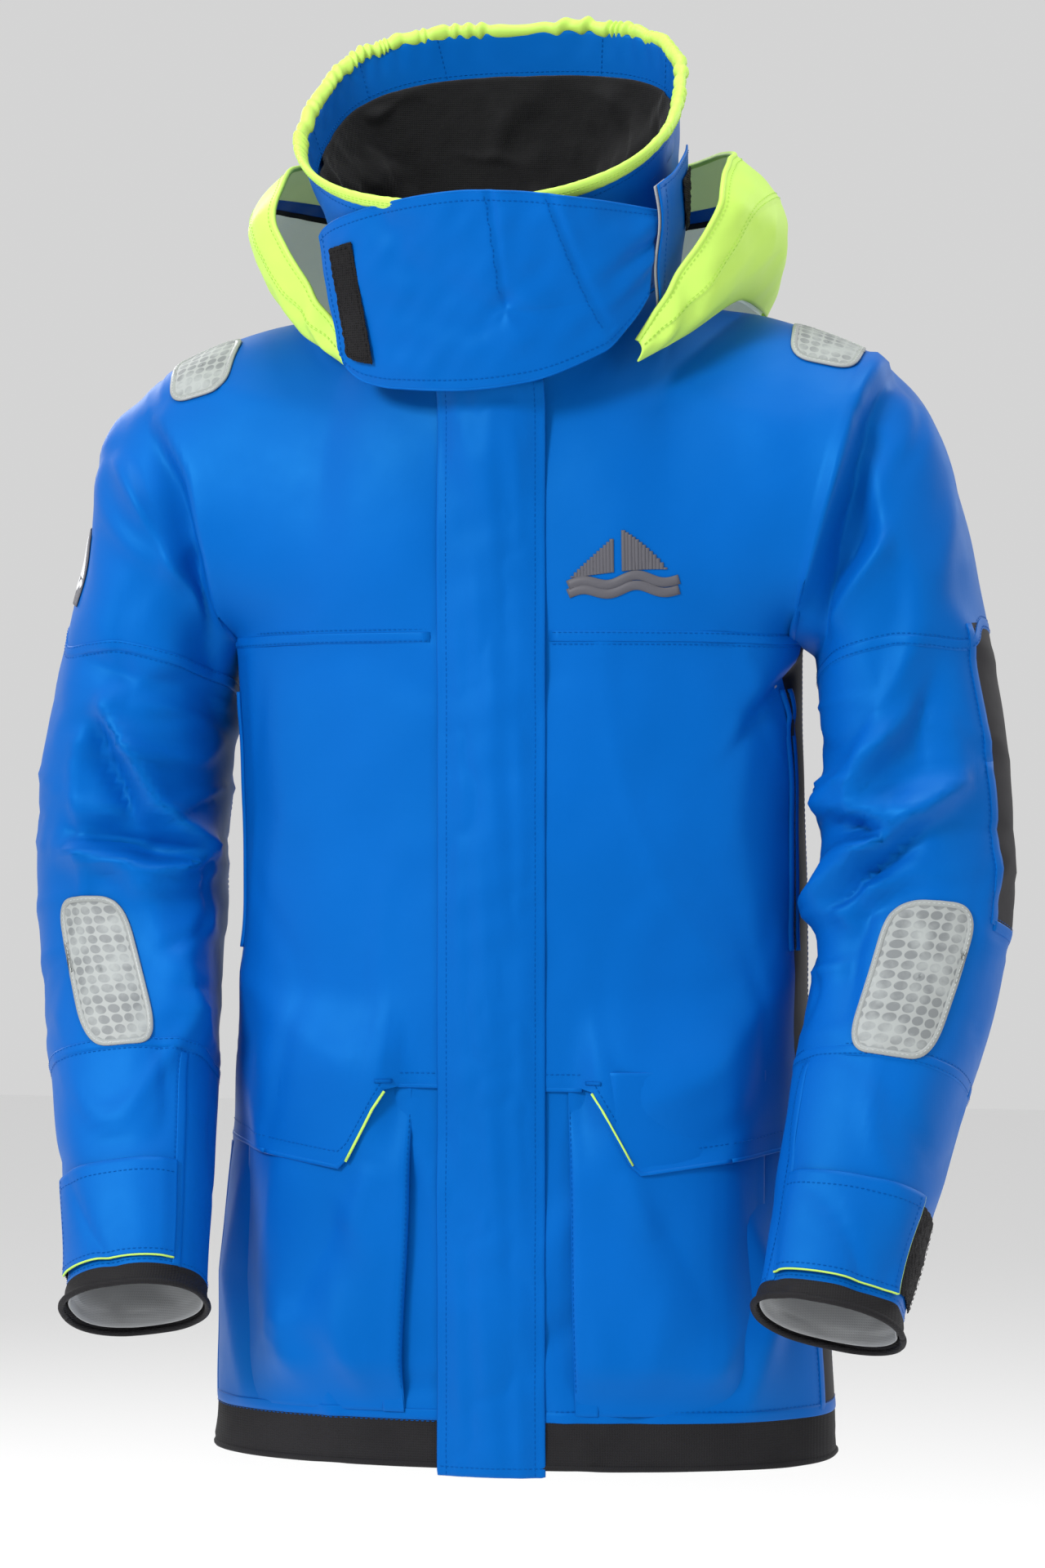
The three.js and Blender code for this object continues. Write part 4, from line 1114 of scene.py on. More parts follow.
def on_sleeve(letter, degrees, station):
    """Points and normals of the finished sleeve. 0 degrees is its outer edge and 90 its front."""
    station = np.asarray(station)
    rows, columns = np.broadcast_arrays(
        station * SLEEVE_ROWS_PER_STATION, np.asarray(degrees) / 360 * 2 * YOKE_CELLS
    )
    in_band = (station - CUFF_BAND_START) / (CUFF_END - CUFF_BAND_START) * CUFF_BAND_ROWS
    rows = np.where(station > CUFF_BAND_START, CUFF_ROW + in_band, rows)
    ring = shell.rings[letter]
    return tuple(sample(v, ring, rows, columns, wrap=True) for v in (skin, skin_normals))


def on_yoke(letter, along, up):
    columns = np.interp(along, ALONGS, np.arange(len(ALONGS)))
    index = shell.front[letter]
    return tuple(sample(v, index, np.asarray(up) * YOKE_CELLS, columns) for v in (skin, skin_normals))


# ---- Pieces of the shell ----


def cut_piece(name, parts, look, rides, replaces, thickness=1.3):
    """Parts of the shell as a piece of cloth. Its shading is the whole shell's, so cuts don't show."""
    used, faces = np.unique(shell.faces[np.isin(shell.parts, parts)], return_inverse=True)
    faces = faces.reshape(-1, 4)
    points, normals = on_skin(used)
    count = len(used)
    sides = np.concatenate([faces[:, [k, (k + 1) % 4]] for k in range(4)]).tolist()
    key = {tuple(e) for e in sides}
    rims = [(b, a, a + count, b + count) for a, b in sides if (b, a) not in key]
    every = faces.tolist() + (faces[:, ::-1] + count).tolist() + rims
    both = np.concatenate([points, points - normals * thickness])
    make(name, both, every, look, rides, replaces, np.concatenate([normals, -normals]))


SHOULDER_START, SHOULDER_TURN = np.array([248, 5, -18.0]), np.array([0.9615, 0, -0.2747]) * 40
ELBOW_START, ELBOW_END = (0, 0, -338.0), (0, 0, -402.0)
FLAP_START, FLAP_END = (0, 0, -446.0), (0, 0, -474.0)
# The shell's parts: what they look like, what they ride on, and the CAD node they replace
SHELL_PARTS = [
    ("yoke_front", "blue", "torso", "yoke_front"),
    ("front", "blue", "torso", "front_panel"),
    ("lower", "blue", "torso", "front_panel"),
    ("flap", "blue", "at_flap", "cargo_flap"),
    ("side", "black", "torso", "side_panel"),
    ("hem", "rib", "torso", "hem_band"),
    ("arm", "blue", "at_shoulder", "upper_sleeve"),
    ("arm_back", "black", "at_shoulder", "upper_sleeve"),
    ("elbow", "blue", "at_elbow", "forearm_sleeve"),
    ("elbow_back", "black", "at_elbow", "forearm_sleeve"),
    ("forearm", "blue", "forearm", "forearm_sleeve"),
    ("cuff", "rib", "forearm", "cuff_band"),
]


def rides_of(letter, flip):
    """What the parts of one side ride on. Cloth at a joint is given two bodies and a span between them, and is only
    baked in place, riding on neither.
    """
    upper, forearm = f"upper_sleeve_{letter}", f"forearm_{letter}"
    return {
        "torso": "torso",
        "forearm": forearm,
        "at_shoulder": ("torso", upper, SHOULDER_START * flip, (SHOULDER_START + SHOULDER_TURN) * flip),
        "at_elbow": (upper, forearm, ELBOW_START, ELBOW_END),
        "at_flap": ("torso", f"cargo_flap_{letter}", FLAP_START, FLAP_END),
    }


for letter, side, flip in SIDES:
    for part, look, rides, node in SHELL_PARTS:
        name = f"{part}_{letter}"
        cut_piece(f"shell_{name}", [name], look, rides_of(letter, flip)[rides], [f"{node}_{letter}"])
cut_piece("shell_back", ["back"], "blue", "torso", ["back_panel"])
cut_piece("shell_yoke_back", ["yoke_back_L", "yoke_back_R"], "blue", "torso", ["yoke_back"])

# ---- Seams ----

# The upper arm seam runs across the front more level than the ring of the armhole: rows up, by degrees.
upper_seam_rise = profile(
    [(0, 0), (12, 0), (36, -2.4), (66, -0.6), (100, 4.5), (135, 10)]
    + [(165, 13), (195, 7), (220, 0), (290, 0), (360, 0)]
)
FOREARM_SEAM_ROW, INNER_SEAM_COLUMN, YOKE_SEAM_X = 87, 34, 37.5
LIP = [(-0.7, -1.4), (-0.8, -0.3), (-0.2, 0.3), (1.6, 0.25), (2.2, 0.0), (1.8, -1.4)]
CUFF_LINING_TOP, CUFF_LINING_END = 9.7, 12.86  # stations on the sleeve


def seam(name, paths, rides, stitch_rows, section=LAP):
    """Raised laps along paths of (points, normals), with rows of stitches beside each."""
    lap, thread = Batch(), Batch()
    for path, normals in paths:
        side = sideways_of(path, normals)
        lap.ribbon(path, normals, section)
        for offset in stitch_rows:
            lift = 0.7 if abs(offset) < 4 else 0.25
            thread.stitches(path + side * offset, normals, lift=lift)
    lap.make(name, "blue", rides)
    thread.make(name + "_stitches", "blue_dark", rides)


def torso_seams(letter, panel, overlay):
    front = shell.front[letter]
    first = int(np.argmax(np.abs(skin[front[0], 0]) > YOKE_SEAM_X))
    yoke_seam = [on_skin(front[0, first:]), on_skin(shell.rear_yoke[letter][0])]
    seam(f"seam_yoke_{letter}", yoke_seam, "torso", (-2.6, 5.2))
    side_seam = [on_skin(panel[FLAP_ROWS + 1 : BAND_ROW + 1, 0]), on_skin(panel[: BAND_ROW + 1, -1])]
    seam(f"seam_side_{letter}", side_seam, "torso", (5.0,))
    lower, rear = shell.lower[letter], shell.rear[letter]
    hem = np.concatenate([lower[HIDDEN_ROWS + LOWER_ROWS], panel[BAND_ROW][1:], rear[BAND_ROW][1:]])
    seam(f"seam_hem_{letter}", [on_skin(hem)], "torso", (-4.4,))
    edge = np.concatenate([lower[-1], panel[-1][1:], rear[-1][1:]])
    strip(f"hem_binding_{letter}", *on_skin(edge), cord_section(2.1, 10, -0.7), "rib", "torso")

    # the overlay's lower edge: a folded lip with a row of stitches, and piping on its slanting end
    flap = f"cargo_flap_{letter}"
    path, up = on_skin(overlay[-1])
    x = np.abs(path[:, 0])
    for part, inside, rides in (
        ("inner", x <= FLAP_INNER_X, "torso"),
        ("flap", (x >= FLAP_INNER_X - 3) & (x < FLAP_OUTER_X), flap),
        ("outer", x >= FLAP_OUTER_X - 3, "torso"),
    ):
        strip(f"overlay_lip_{part}_{letter}", path[inside], up[inside], LIP, "blue", rides)
        sew(f"overlay_stitches_{part}_{letter}", rides, [on_skin(overlay[-3][inside])])
    slanted = (x > FLAP_INNER_X - 2) & (x < 100)
    path, up = path[slanted], up[slanted]
    path = path + up * 0.6 + np.array([0, 0, -1.0])
    strip(f"flap_piping_{letter}", path, up, cord_section(0.95, 8, -0.4), "yellow", flap)


def sleeve_seams(letter, side, ring):
    upper_arm, forearm = f"upper_sleeve_{letter}", f"forearm_{letter}"
    around = np.r_[np.arange(ring.shape[1]), 0]
    lap = LAP if side > 0 else [(-a, b) for a, b in reversed(LAP)]
    degrees = np.linspace(0, 360, 177)
    upper = on_sleeve(letter, degrees, (BACK_ROWS[0] - upper_seam_rise(degrees)) / SLEEVE_ROWS_PER_STATION)
    seam(f"seam_upper_arm_{letter}", [upper], upper_arm, (-2.2, 4.6), lap)
    seam(f"seam_forearm_{letter}", [on_skin(ring[FOREARM_SEAM_ROW, around])], forearm, (-2.2, 4.6), lap)
    for column, label in zip(BACK_COLUMNS[letter], ("outer", "inner")):
        for start, end, part, rides in (
            (BACK_ROWS[0], ARM_ROW, "arm", upper_arm),
            (ARM_ROW, BACK_ROWS[1], "elbow", (upper_arm, forearm, ELBOW_START, ELBOW_END)),
        ):
            seam(f"seam_back_{label}_{part}_{letter}", [on_skin(ring[start : end + 1, column])], rides, (4.6,))
    inner = ring[FOREARM_SEAM_ROW + 1 : CUFF_ROW + 1, INNER_SEAM_COLUMN]
    seam(f"seam_inner_forearm_{letter}", [on_skin(inner)], forearm, (4.6,))
    outer_column, inner_column = BACK_COLUMNS[letter]
    cross = ring[BACK_ROWS[1], np.r_[np.arange(inner_column, ring.shape[1]), np.arange(outer_column + 1)]]
    seam(f"seam_back_low_{letter}", [on_skin(cross)], forearm, (4.6,), lap)

    # cuff: binding round the opening, the stitched edge of the blue cloth, and the lining
    binding = on_skin(ring[-1, around])
    strip(f"cuff_binding_{letter}", *binding, cord_section(2.2, 10, -0.7), "rib", forearm)
    sew(f"cuff_stitches_{letter}", forearm, [on_skin(ring[CUFF_ROW - 1, around])])
    turn, down = np.meshgrid(np.linspace(0, 360, 73)[:-1], np.linspace(CUFF_LINING_TOP, CUFF_LINING_END, 30))
    base, up = on_sleeve(letter, turn, down)
    folds = 0.9 * stretched_noise(base, (1, 1, 0.6), 40, 11) * np.clip((CUFF_LINING_END - down) * 2, 0, 1)
    points = base - up * (3.1 + np.abs(folds))[..., None]
    slab(f"cuff_lining_cloth_{letter}", points, 1.1, "lining", forearm, [f"cuff_lining_{letter}"], up, True)


for letter, side, _ in SIDES:
    torso_seams(letter, shell.panel[letter], shell.overlay[letter])
    sleeve_seams(letter, side, shell.rings[letter])

# ---- Pockets ----

def lifted(surface, u, v, distance):
    """Points of a surface, moved out from it."""
    step = 1e-3
    a = surface(u + step, v) - surface(u - step, v)
    b = surface(u, v + step) - surface(u, v - step)
    return surface(u, v) - unit(np.cross(a, b)) * np.asarray(distance, float)[..., None]


# Slack folds on the pocket's front, below its flap: from x, z to x, z, with height and width.
POCKET_FOLDS = [
    (92, -566, 138, -660, -4.5, 17),
    (84, -560, 100, -610, 4.0, 12),
    (172, -640, 128, -722, 5.0, 15),
    (150, -560, 168, -640, 4.0, 14),
    (110, -640, 96, -715, 3.5, 16),
]
# Across the bellows pocket: distance from the middle of the jacket, and how far it stands off the front. It
# starts under its own folded inner edge and dies away towards the side.
BELLOWS = [
    (72, 0.3), (66, 0.5), (61, 1.0), (58.2, 2.2), (57.1, 3.8), (56.9, 5.6), (57.6, 7.4), (59.6, 8.9), (63, 9.6),
    (72, 9.9), (84, 10.0), (96, 10.0), (108, 10.0), (120, 10.0), (132, 9.8), (142, 9.2), (151, 7.8), (159, 5.6),
    (166, 3.2), (171, 1.5), (176, 0.4),
]
BELLOWS_TOP_Z, BELLOWS_BOTTOM_Z, BELLOWS_EDGE_COLUMN, FOLD_LEAN = -500, -725.5, 24, 6
BAR_TACK_X, BAR_TACK_LENGTH, BAR_TACK_Z = 65.0, 11, -507.0
BAR_TACK = [(-1.3, 0), (-1.1, 0.8), (0, 1.05), (1.1, 0.8), (1.3, 0)]
HAND_ZIP_TOP, HAND_ZIP_BOTTOM, ZIP_STEPS = -248, -422, 59
ZIP_TAPE = [(-6.5, -0.8), (-6.5, 0.35), (6.5, 0.35), (6.5, -0.8)]
ZIP_LIP = [(-2.6, -0.5), (-2.2, 1.6), (-0.4, 2.3), (1.6, 1.7), (2.8, 0.5), (2.9, -0.5)]


def bellows_pocket(letter, side):
    bends = np.linspace(0, len(BELLOWS) - 1, 79)
    across, height = read_off(bends, range(len(BELLOWS)), BELLOWS).T
    z = np.linspace(BELLOWS_TOP_Z, BELLOWS_BOTTOM_Z, 92)[:, None] * np.ones_like(across)
    inner = 1 - smooth(across, 64, 84)
    shut = 1 - 0.97 * smooth(-z, 690, 725)
    x = across - 4.5 * inner * (1 - smooth(-z, 520, 700)) + inner * 0.9 * np.sin(z / 31 + side)
    points = body(side * body_angle(x, z), z)
    outwards = unit(stack(points[..., 0] * 0.45, points[..., 1] - 60, 0))
    puff = stretched_noise(points, (1.3, 1, 0.7), 80, 21 + side)
    puff += 2.4 * ridge(points, (1.1, 1, 0.8), 190, 25 + side, 0.14) * smooth(-z, 560, 610)
    for x0, z0, x1, z1, high, wide in POCKET_FOLDS:
        right, up = across - x0 - FOLD_LEAN * side, z - z0
        run, drop = x1 - x0, z1 - z0
        t = np.clip((right * run + up * drop) / (run**2 + drop**2), 0, 1)
        off = np.hypot(right - t * run, up - t * drop)
        puff += high * np.exp(-((off / wide) ** 1.6)) * np.sin(math.pi * np.clip(0.1 + 0.8 * t, 0, 1))
    room = mix(1.9, 6.5, smooth(-z, 545, 580))
    stand = np.where(across > 63, height + np.minimum(puff, room) * smooth(across, 63, 80) * (height / 10), height)
    depth = mix(stand * shut, mix(-1.8, stand, smooth(-z, 509, 575)) * shut, inner)
    points += outwards * depth[..., None]
    slab(f"cargo_bellows_{letter}", points, 1.2, "blue", "torso", [f"cargo_pocket_{letter}"], outwards)
    edge = np.s_[8:-6, BELLOWS_EDGE_COLUMN]
    sew(f"cargo_stitches_{letter}", "torso", [(points[edge], outwards[edge])])
    xs = side * np.linspace(BAR_TACK_X, BAR_TACK_X + BAR_TACK_LENGTH, 6)
    tack = on_front(xs, np.full(6, BAR_TACK_Z))
    strip(f"bar_tack_{letter}", *tack, BAR_TACK, "blue_dark", f"cargo_flap_{letter}")


def hand_pocket(letter, side):
    """A zip at the front edge of the side panel, between two lips, and the bag inside."""
    z = np.linspace(HAND_ZIP_TOP, HAND_ZIP_BOTTOM, ZIP_STEPS)
    rows = (z - YOKE_Z) / (FLAP_SIDE_Z - YOKE_Z) * FLAP_ROWS
    path, up = (sample(v, shell.panel[letter], rows, np.zeros(ZIP_STEPS)) for v in (skin, skin_normals))
    sideways = sideways_of(path, up)
    strip(f"hand_zip_tape_{letter}", path, up, ZIP_TAPE, "tape", "torso", [f"hand_pocket_zip_{letter}"])
    coil, lips = Batch(), Batch()
    places = np.arange(1.0, 57.5, 0.42)
    middle, ups, across = (read_off(places, range(ZIP_STEPS), v) for v in (path, up, sideways))
    ups, across = unit(ups), unit(across)
    for at, n, s, t in zip(middle, ups, across, np.cross(ups, across)):
        corners = [at + s * a + t * b + n * c for a in (-1.9, 1.9) for b in (-0.42, 0.42) for c in (0.2, 1.25)]
        coil.add(corners, BOX_FACES)
    coil.make(f"hand_zip_coil_{letter}", "zip", "torso")
    for offset in (-5.2, 5.2):
        lips.ribbon(path + sideways * offset, up, ZIP_LIP)
    lips.make(f"hand_zip_lips_{letter}", "blue", "torso")
    sew(f"hand_zip_stitches_{letter}", "torso", [(path - sideways * 9.5 * side, up)])

    angle, zz = grid(42, 74, 26, -244, -462, 40)
    base = body(np.radians(angle) * side, zz)
    outwards = unit(base - stack(0, 5, zz))
    points = base - outwards * (6.6 + 0.8 * stretched_noise(base, (1, 1, 0.8), 45, 31))[..., None]
    slab(f"hand_bag_{letter}", points, 0.9, "lining", "torso", [f"hand_pocket_bag_{letter}"], outwards)


for letter, side, _ in SIDES:
    bellows_pocket(letter, side)
    hand_pocket(letter, side)

# body lining: a thin loose cloth with soft vertical folds
angle, zz = grid(11, 349, 180, -224, -718, 70)
base = body(np.radians(angle), zz)
outwards = unit(base - stack(0, 5, zz))
folds = 1.1 * np.sin(np.radians(angle) * 31 + 2 * np.sin(zz / 90)) * smooth(-zz, 230, 420)
folds += 0.8 * noise3(base, 80, 41)
points = base - outwards * (10.2 + folds)[..., None]
slab("body_lining_cloth", points, 0.8, "lining", "torso", ["body_lining"], outwards)

# ---- Front closure ----

PLACKET_LEFT, PLACKET_RIGHT, PLACKET_TOP, PLACKET_Y = -34.6, 37.2, -46, FRONT_Y - 6.2
PLACKET_ROWS, SMOOTHING = 260, 13
ZIP_TOP, ZIP_BOTTOM, TOOTH_PITCH, TOOTH_STAGGER = -70, -744, 2.6, 0.65
BEHIND = (0, 500, -400)  # a point that the front's outer faces look away from


def storm_flap():
    x, z = grid(PLACKET_LEFT, PLACKET_RIGHT, 37, PLACKET_TOP, PLACKET_BOTTOM_Z, PLACKET_ROWS)
    edge = np.abs((x - 1.3) / 35.9)
    wave = 1.3 * noise3(stack(x * 1.2, 0, z * 0.9), 110, 51) + 0.6 * noise3(stack(x * 1.4, 0, z), 34, 52)
    wave += 1.3 * np.sin(z / 19 + 1.5 * np.sin(z / 51)) * bump(x, 33, 6)
    # it lies on the front panels at both edges, and stands off over the zip
    heights = np.clip(z[:, 0], HEM_Z + 3, -66)
    beside = []
    for at in (PLACKET_LEFT, PLACKET_RIGHT):
        y = on_front(np.full(PLACKET_ROWS, at), heights)[0][:, 1]
        y = np.pad(y, SMOOTHING // 2, "edge")
        beside.append(np.convolve(y, np.ones(SMOOTHING) / SMOOTHING, "valid")[:, None])
    beside = np.where(x < 0, *beside) - np.where(x < 0, 2.4, 1.4)
    middle = PLACKET_Y + 1.9 - 3.6 * bump(z, -88, 34)
    y = mix(middle - np.abs(wave), np.minimum(beside, FRONT_Y - 0.5) - 0.35 * np.abs(wave), smooth(edge, 0.5, 1.0))
    y -= 5.0 * smooth(z, -68, PLACKET_TOP) ** 1.2
    y -= 2.6 * bump(x, 0, 12)
    points = stack(x, y, z)
    slab("storm_flap_cloth", points, 1.5, "blue", "storm_flap", ["storm_flap"], BEHIND)
    thread = Batch()
    facing_out = np.broadcast_to(np.array([0, -1.0, 0]), points[:, 0].shape)
    for column in (3, 33):
        thread.stitches(points[:, column], facing_out, lift=0.1)
    thread.stitches(points[-3], facing_out[: points.shape[1]], lift=0.15)
    thread.make("storm_flap_stitches", "blue_dark", "storm_flap")


storm_flap()
x, z = grid(-24, 26, 15, ZIP_TOP, -726, 120)
points = stack(x, FRONT_Y + 5.6 + 0.35 * noise3(stack(x, 0, z), 60, 53), z)
slab("inner_flap_cloth", points, 1.0, "blue", "torso", ["inner_flap"], BEHIND)
for letter, side, _ in SIDES:
    x, z = grid(3.2, 16.4, 6, ZIP_TOP, ZIP_BOTTOM, 100)
    points = stack(x * side, FRONT_Y + 0.1, z)
    slab(f"zip_tape_{letter}", points, 0.8, "tape", "torso", [f"zip_half_{letter}"], BEHIND)
    teeth = Batch()
    for at in np.arange(ZIP_TOP, ZIP_BOTTOM, -TOOTH_PITCH) - TOOTH_STAGGER * (side + 1):
        spans = ((0.25 * side, 3.3 * side), (-1.0, 1.6), (-0.55, 0.55))
        corners = [(a, FRONT_Y + b, at + c) for a in spans[0] for b in spans[1] for c in spans[2]]
        teeth.add(corners, BOX_FACES)
    teeth.make(f"zip_teeth_{letter}", "zip", "torso")

# CAD nodes that keep their shape get their material and a small bevel
for node in ("zip_slider", "zip_puller", "zip_box", "hand_pocket_slider_L", "hand_pocket_slider_R"):
    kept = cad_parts[node]
    kept.data.materials.clear()
    kept.data.materials.append(MATERIALS["zip"])
    bevel = kept.modifiers.new("edges", "BEVEL")
    bevel.width, bevel.segments, bevel.limit_method = 0.25 * MM, 2, "ANGLE"

# ---- Collar ----


def collar_out(angle, height, distance=0.0):
    return lifted(collar, angle, height, distance)


def level_out(angle):
    return stack(np.sin(angle), -np.cos(angle), 0)


def degrees_from_front(turn):
    return np.abs((np.degrees(turn) + 180) % 360 - 180)


COLLAR_CELLS, FLEECE_CELLS = 240, 300
COLLAR_RING = np.r_[np.arange(COLLAR_CELLS), 0]
RIM_CELLS, RIM_SECTION = 1080, 20


def collar_shell():
    turn, height = round_grid(COLLAR_CELLS, 0.015, 1.02, 44)
    base, outwards = collar_out(turn, height), level_out(turn)
    creases = 2.3 * stretched_noise(base, (1, 1, 1.5), 95, 61) + 1.0 * stretched_noise(base, (1, 1, 1.8), 40, 62)
    creases *= np.sin(math.pi * np.clip(height * 0.94 + 0.03, 0, 1)) ** 0.6
    side_folds = bump(degrees_from_front(turn), 62, 16)
    creases += 2.2 * side_folds * np.sin(base[..., 2] / 7.5 + np.sin(turn * 9)) * np.sin(math.pi * height)
    points = base + outwards * np.minimum(creases, 3.2)[..., None]
    slab("collar_cloth", points, 1.5, "blue", "torso", ["collar_shell"], outwards, True)
    rows = [(points[row, COLLAR_RING], outwards[row, COLLAR_RING]) for row in (2, 41)]
    sew("collar_stitches", "torso", rows, lift=0.4)


def collar_facing():
    turn, height = round_grid(COLLAR_CELLS, 0.83, 1.02, 16)
    inwards = -level_out(turn)
    depth = 3.6 + 0.6 * noise3(collar(turn, height), 45, 63) + 0.5 * np.sin(turn * 40) * smooth(height, 0.9, 0.99)
    points = collar_out(turn, height) + inwards * depth[..., None]
    slab("collar_facing_cloth", points, 1.2, "blue", "torso", ["collar_facing"], inwards, True)
    rows = [(points[row, COLLAR_RING], inwards[row, COLLAR_RING]) for row in (1, 3)]
    for degrees in range(18, 360, 36):
        column = degrees * COLLAR_CELLS // 360
        rows.append((points[:, column], inwards[:, column]))
    sew("collar_facing_stitches", "torso", rows)


def collar_fleece():
    turn, height = round_grid(FLEECE_CELLS, 0.04, 0.845, 60)
    inwards = -level_out(turn)
    base = collar(turn, height)
    droop = (
        6.0 * stretched_noise(base, (1, 1, 0.8), 85, 64)
        + 2.4 * stretched_noise(base, (1.2, 1.2, 1), 34, 65)
        + 0.35 * noise3(base, 9, 66)
        + 5.0 * ridge(base, (1, 1, 0.7), 120, 69, 0.16)
    )
    droop = np.maximum(droop, -0.3) * np.sin(math.pi * np.clip(height / 0.885, 0, 1)) ** 0.5
    points = collar_out(turn, height) + inwards * (5.6 + droop)[..., None]
    slab("collar_fleece", points, 2.4, "fleece", "torso", ["collar_lining"], inwards, True)


def collar_rim():
    """The gathered elastic binding on the rim: a closed tube, smooth in front and ruffled behind."""
    turn, around = round_grid(RIM_CELLS, 0, 2 * math.pi, RIM_SECTION + 1)
    turn, around = turn[:-1], around[:-1]
    ruffled = 0.10 + 0.9 * smooth(degrees_from_front(turn), 55, 95)
    phase = 74 * turn + 3.4 * np.sin(5 * turn) + 2.9 * np.sin(11 * turn + 1)
    phase += 2.2 * np.sin(23 * turn) + np.sin(41 * turn)
    uneven = 0.55 + 0.45 * noise3(stack(turn * 100, 0, 0), 55, 70)
    gather = 0.5 + uneven * np.sin(phase + 1.2 * np.sin(around + 0.6))
    swell = 1 + ruffled * (0.34 * gather - 0.17) + 0.05 * ruffled * noise3(stack(turn * 60, around * 3, 0), 6, 67)
    across = -0.9 + mix(3.0, 4.2, ruffled) * swell * np.cos(around)
    above = 6.0 + 5.2 * swell * np.sin(around) + ruffled * 1.3 * noise3(stack(turn * 100, 0, 0), 24, 68)
    rise = unit(rim(turn) - neck(turn))
    points = collar_out(turn, np.ones_like(turn)) + level_out(turn) * across[..., None] + rise * above[..., None]
    outwards = level_out(turn) * np.cos(around)[..., None] + rise * np.sin(around)[..., None]
    index = np.arange(RIM_SECTION * RIM_CELLS).reshape(RIM_SECTION, RIM_CELLS)
    right, down = np.roll(index, -1, 1), np.roll(index, -1, 0)
    faces = np.stack([index, right, np.roll(right, -1, 0), down], -1).reshape(-1, 4)
    if np.sum(grid_normals(points, True)[1:-1] * outwards[1:-1]) > 0:
        faces = faces[:, ::-1]
    make("collar_rim_binding", points.reshape(-1, 3), faces, "yellow", "torso", ["collar_rim"])
    ring = np.r_[np.arange(RIM_CELLS), 0]
    rows = [(points[place, ring], outwards[place, ring]) for place in (0, RIM_SECTION - 1)]
    sew("collar_rim_stitches", "torso", rows, "yellow_thread", pitch=3.4, lift=0.1)


for build in (collar_shell, collar_facing, collar_fleece, collar_rim):
    build()

# ---- Face guard and collar end ----

guard_top_z = profile([(0, 62), (0.45, 72), (0.7, 66), (1, 52)])
guard_bottom_z = profile(
    [(0, 15), (0.05, -7), (0.12, -29), (0.3, -48), (0.535, -53), (0.75, -51), (0.92, -43), (1, -40)]
)
GUARD_SCALE = np.array([215.0, 115.0])  # millimetres for each whole step along and up
GUARD_START, GUARD_END, GUARD_COLUMNS, GUARD_ROWS = 0.012, 0.944, 150, 84
# Darts and folds, from (along, up) to (along, up); the folds with their heights
DARTS = [((0.405, 1.0), (0.372, 0.42)), ((0.262, 1.0), (0.105, 0.12))]
GUARD_FOLDS = [
    ((0.372, 0.42), (0.44, 0.30), 2.6),
    ((0.372, 0.42), (0.29, 0.33), 2.4),
    ((0.44, 0.30), (0.62, 0.36), 2.0),
    ((0.02, 0.62), (0.2, 0.42), 2.6),
    ((0.02, 0.40), (0.2, 0.26), -1.6),
    ((0.03, 0.86), (0.14, 0.5), -2.4),
    ((0.7, 0.95), (0.62, 0.6), 1.6),
]
# Puckers spreading from a point (along, up): phase and number
PUCKERS = [((0.375, 0.38), -0.4, 3.9), ((0.0, 0.6), -0.5, 3.0)]


def guard(along, up):
    along, up = np.broadcast_arrays(np.asarray(along, float), np.asarray(up, float))
    angle = np.radians(mix(50, -61, along))
    top = stack(140 * np.sin(angle), -50 - 112 * np.cos(angle), guard_top_z(along))
    x = mix(93, -112, along)
    corner = 1 - np.sqrt(1 - np.clip((along - 0.84) / 0.106, 0, 1) ** 2)
    bottom = stack(x, -130 + 18 * (x / 110) ** 2, guard_bottom_z(along) + 17 * corner)
    top[..., 2] -= 5 * corner
    root = 1 - smooth(along, 0, 0.3)
    return mix(bottom, top, up[..., None]) + stack(mix(17, 9, up) * root, 12 * root**2, 0)


def guard_out(along, up, distance):
    points = lifted(guard, along, up, distance)
    return points, unit(points - stack(0, -20, points[..., 2]))


def groove(along, up, start, end, width, depth):
    """A stitched dart: a narrow channel from start to end, given as (along, up), with soft shoulders."""
    a, b = np.array(start) * GUARD_SCALE, np.array(end) * GUARD_SCALE
    p = np.stack([along, up], -1) * GUARD_SCALE
    t = np.clip(((p - a) @ (b - a)) / ((b - a) @ (b - a)), 0, 1)
    off = np.linalg.norm(p - (a + t[..., None] * (b - a)), axis=-1)
    return depth * (1 - 0.65 * t) * (bump(off, 0, width) - 0.55 * bump(off, 0, 3.4 * width))


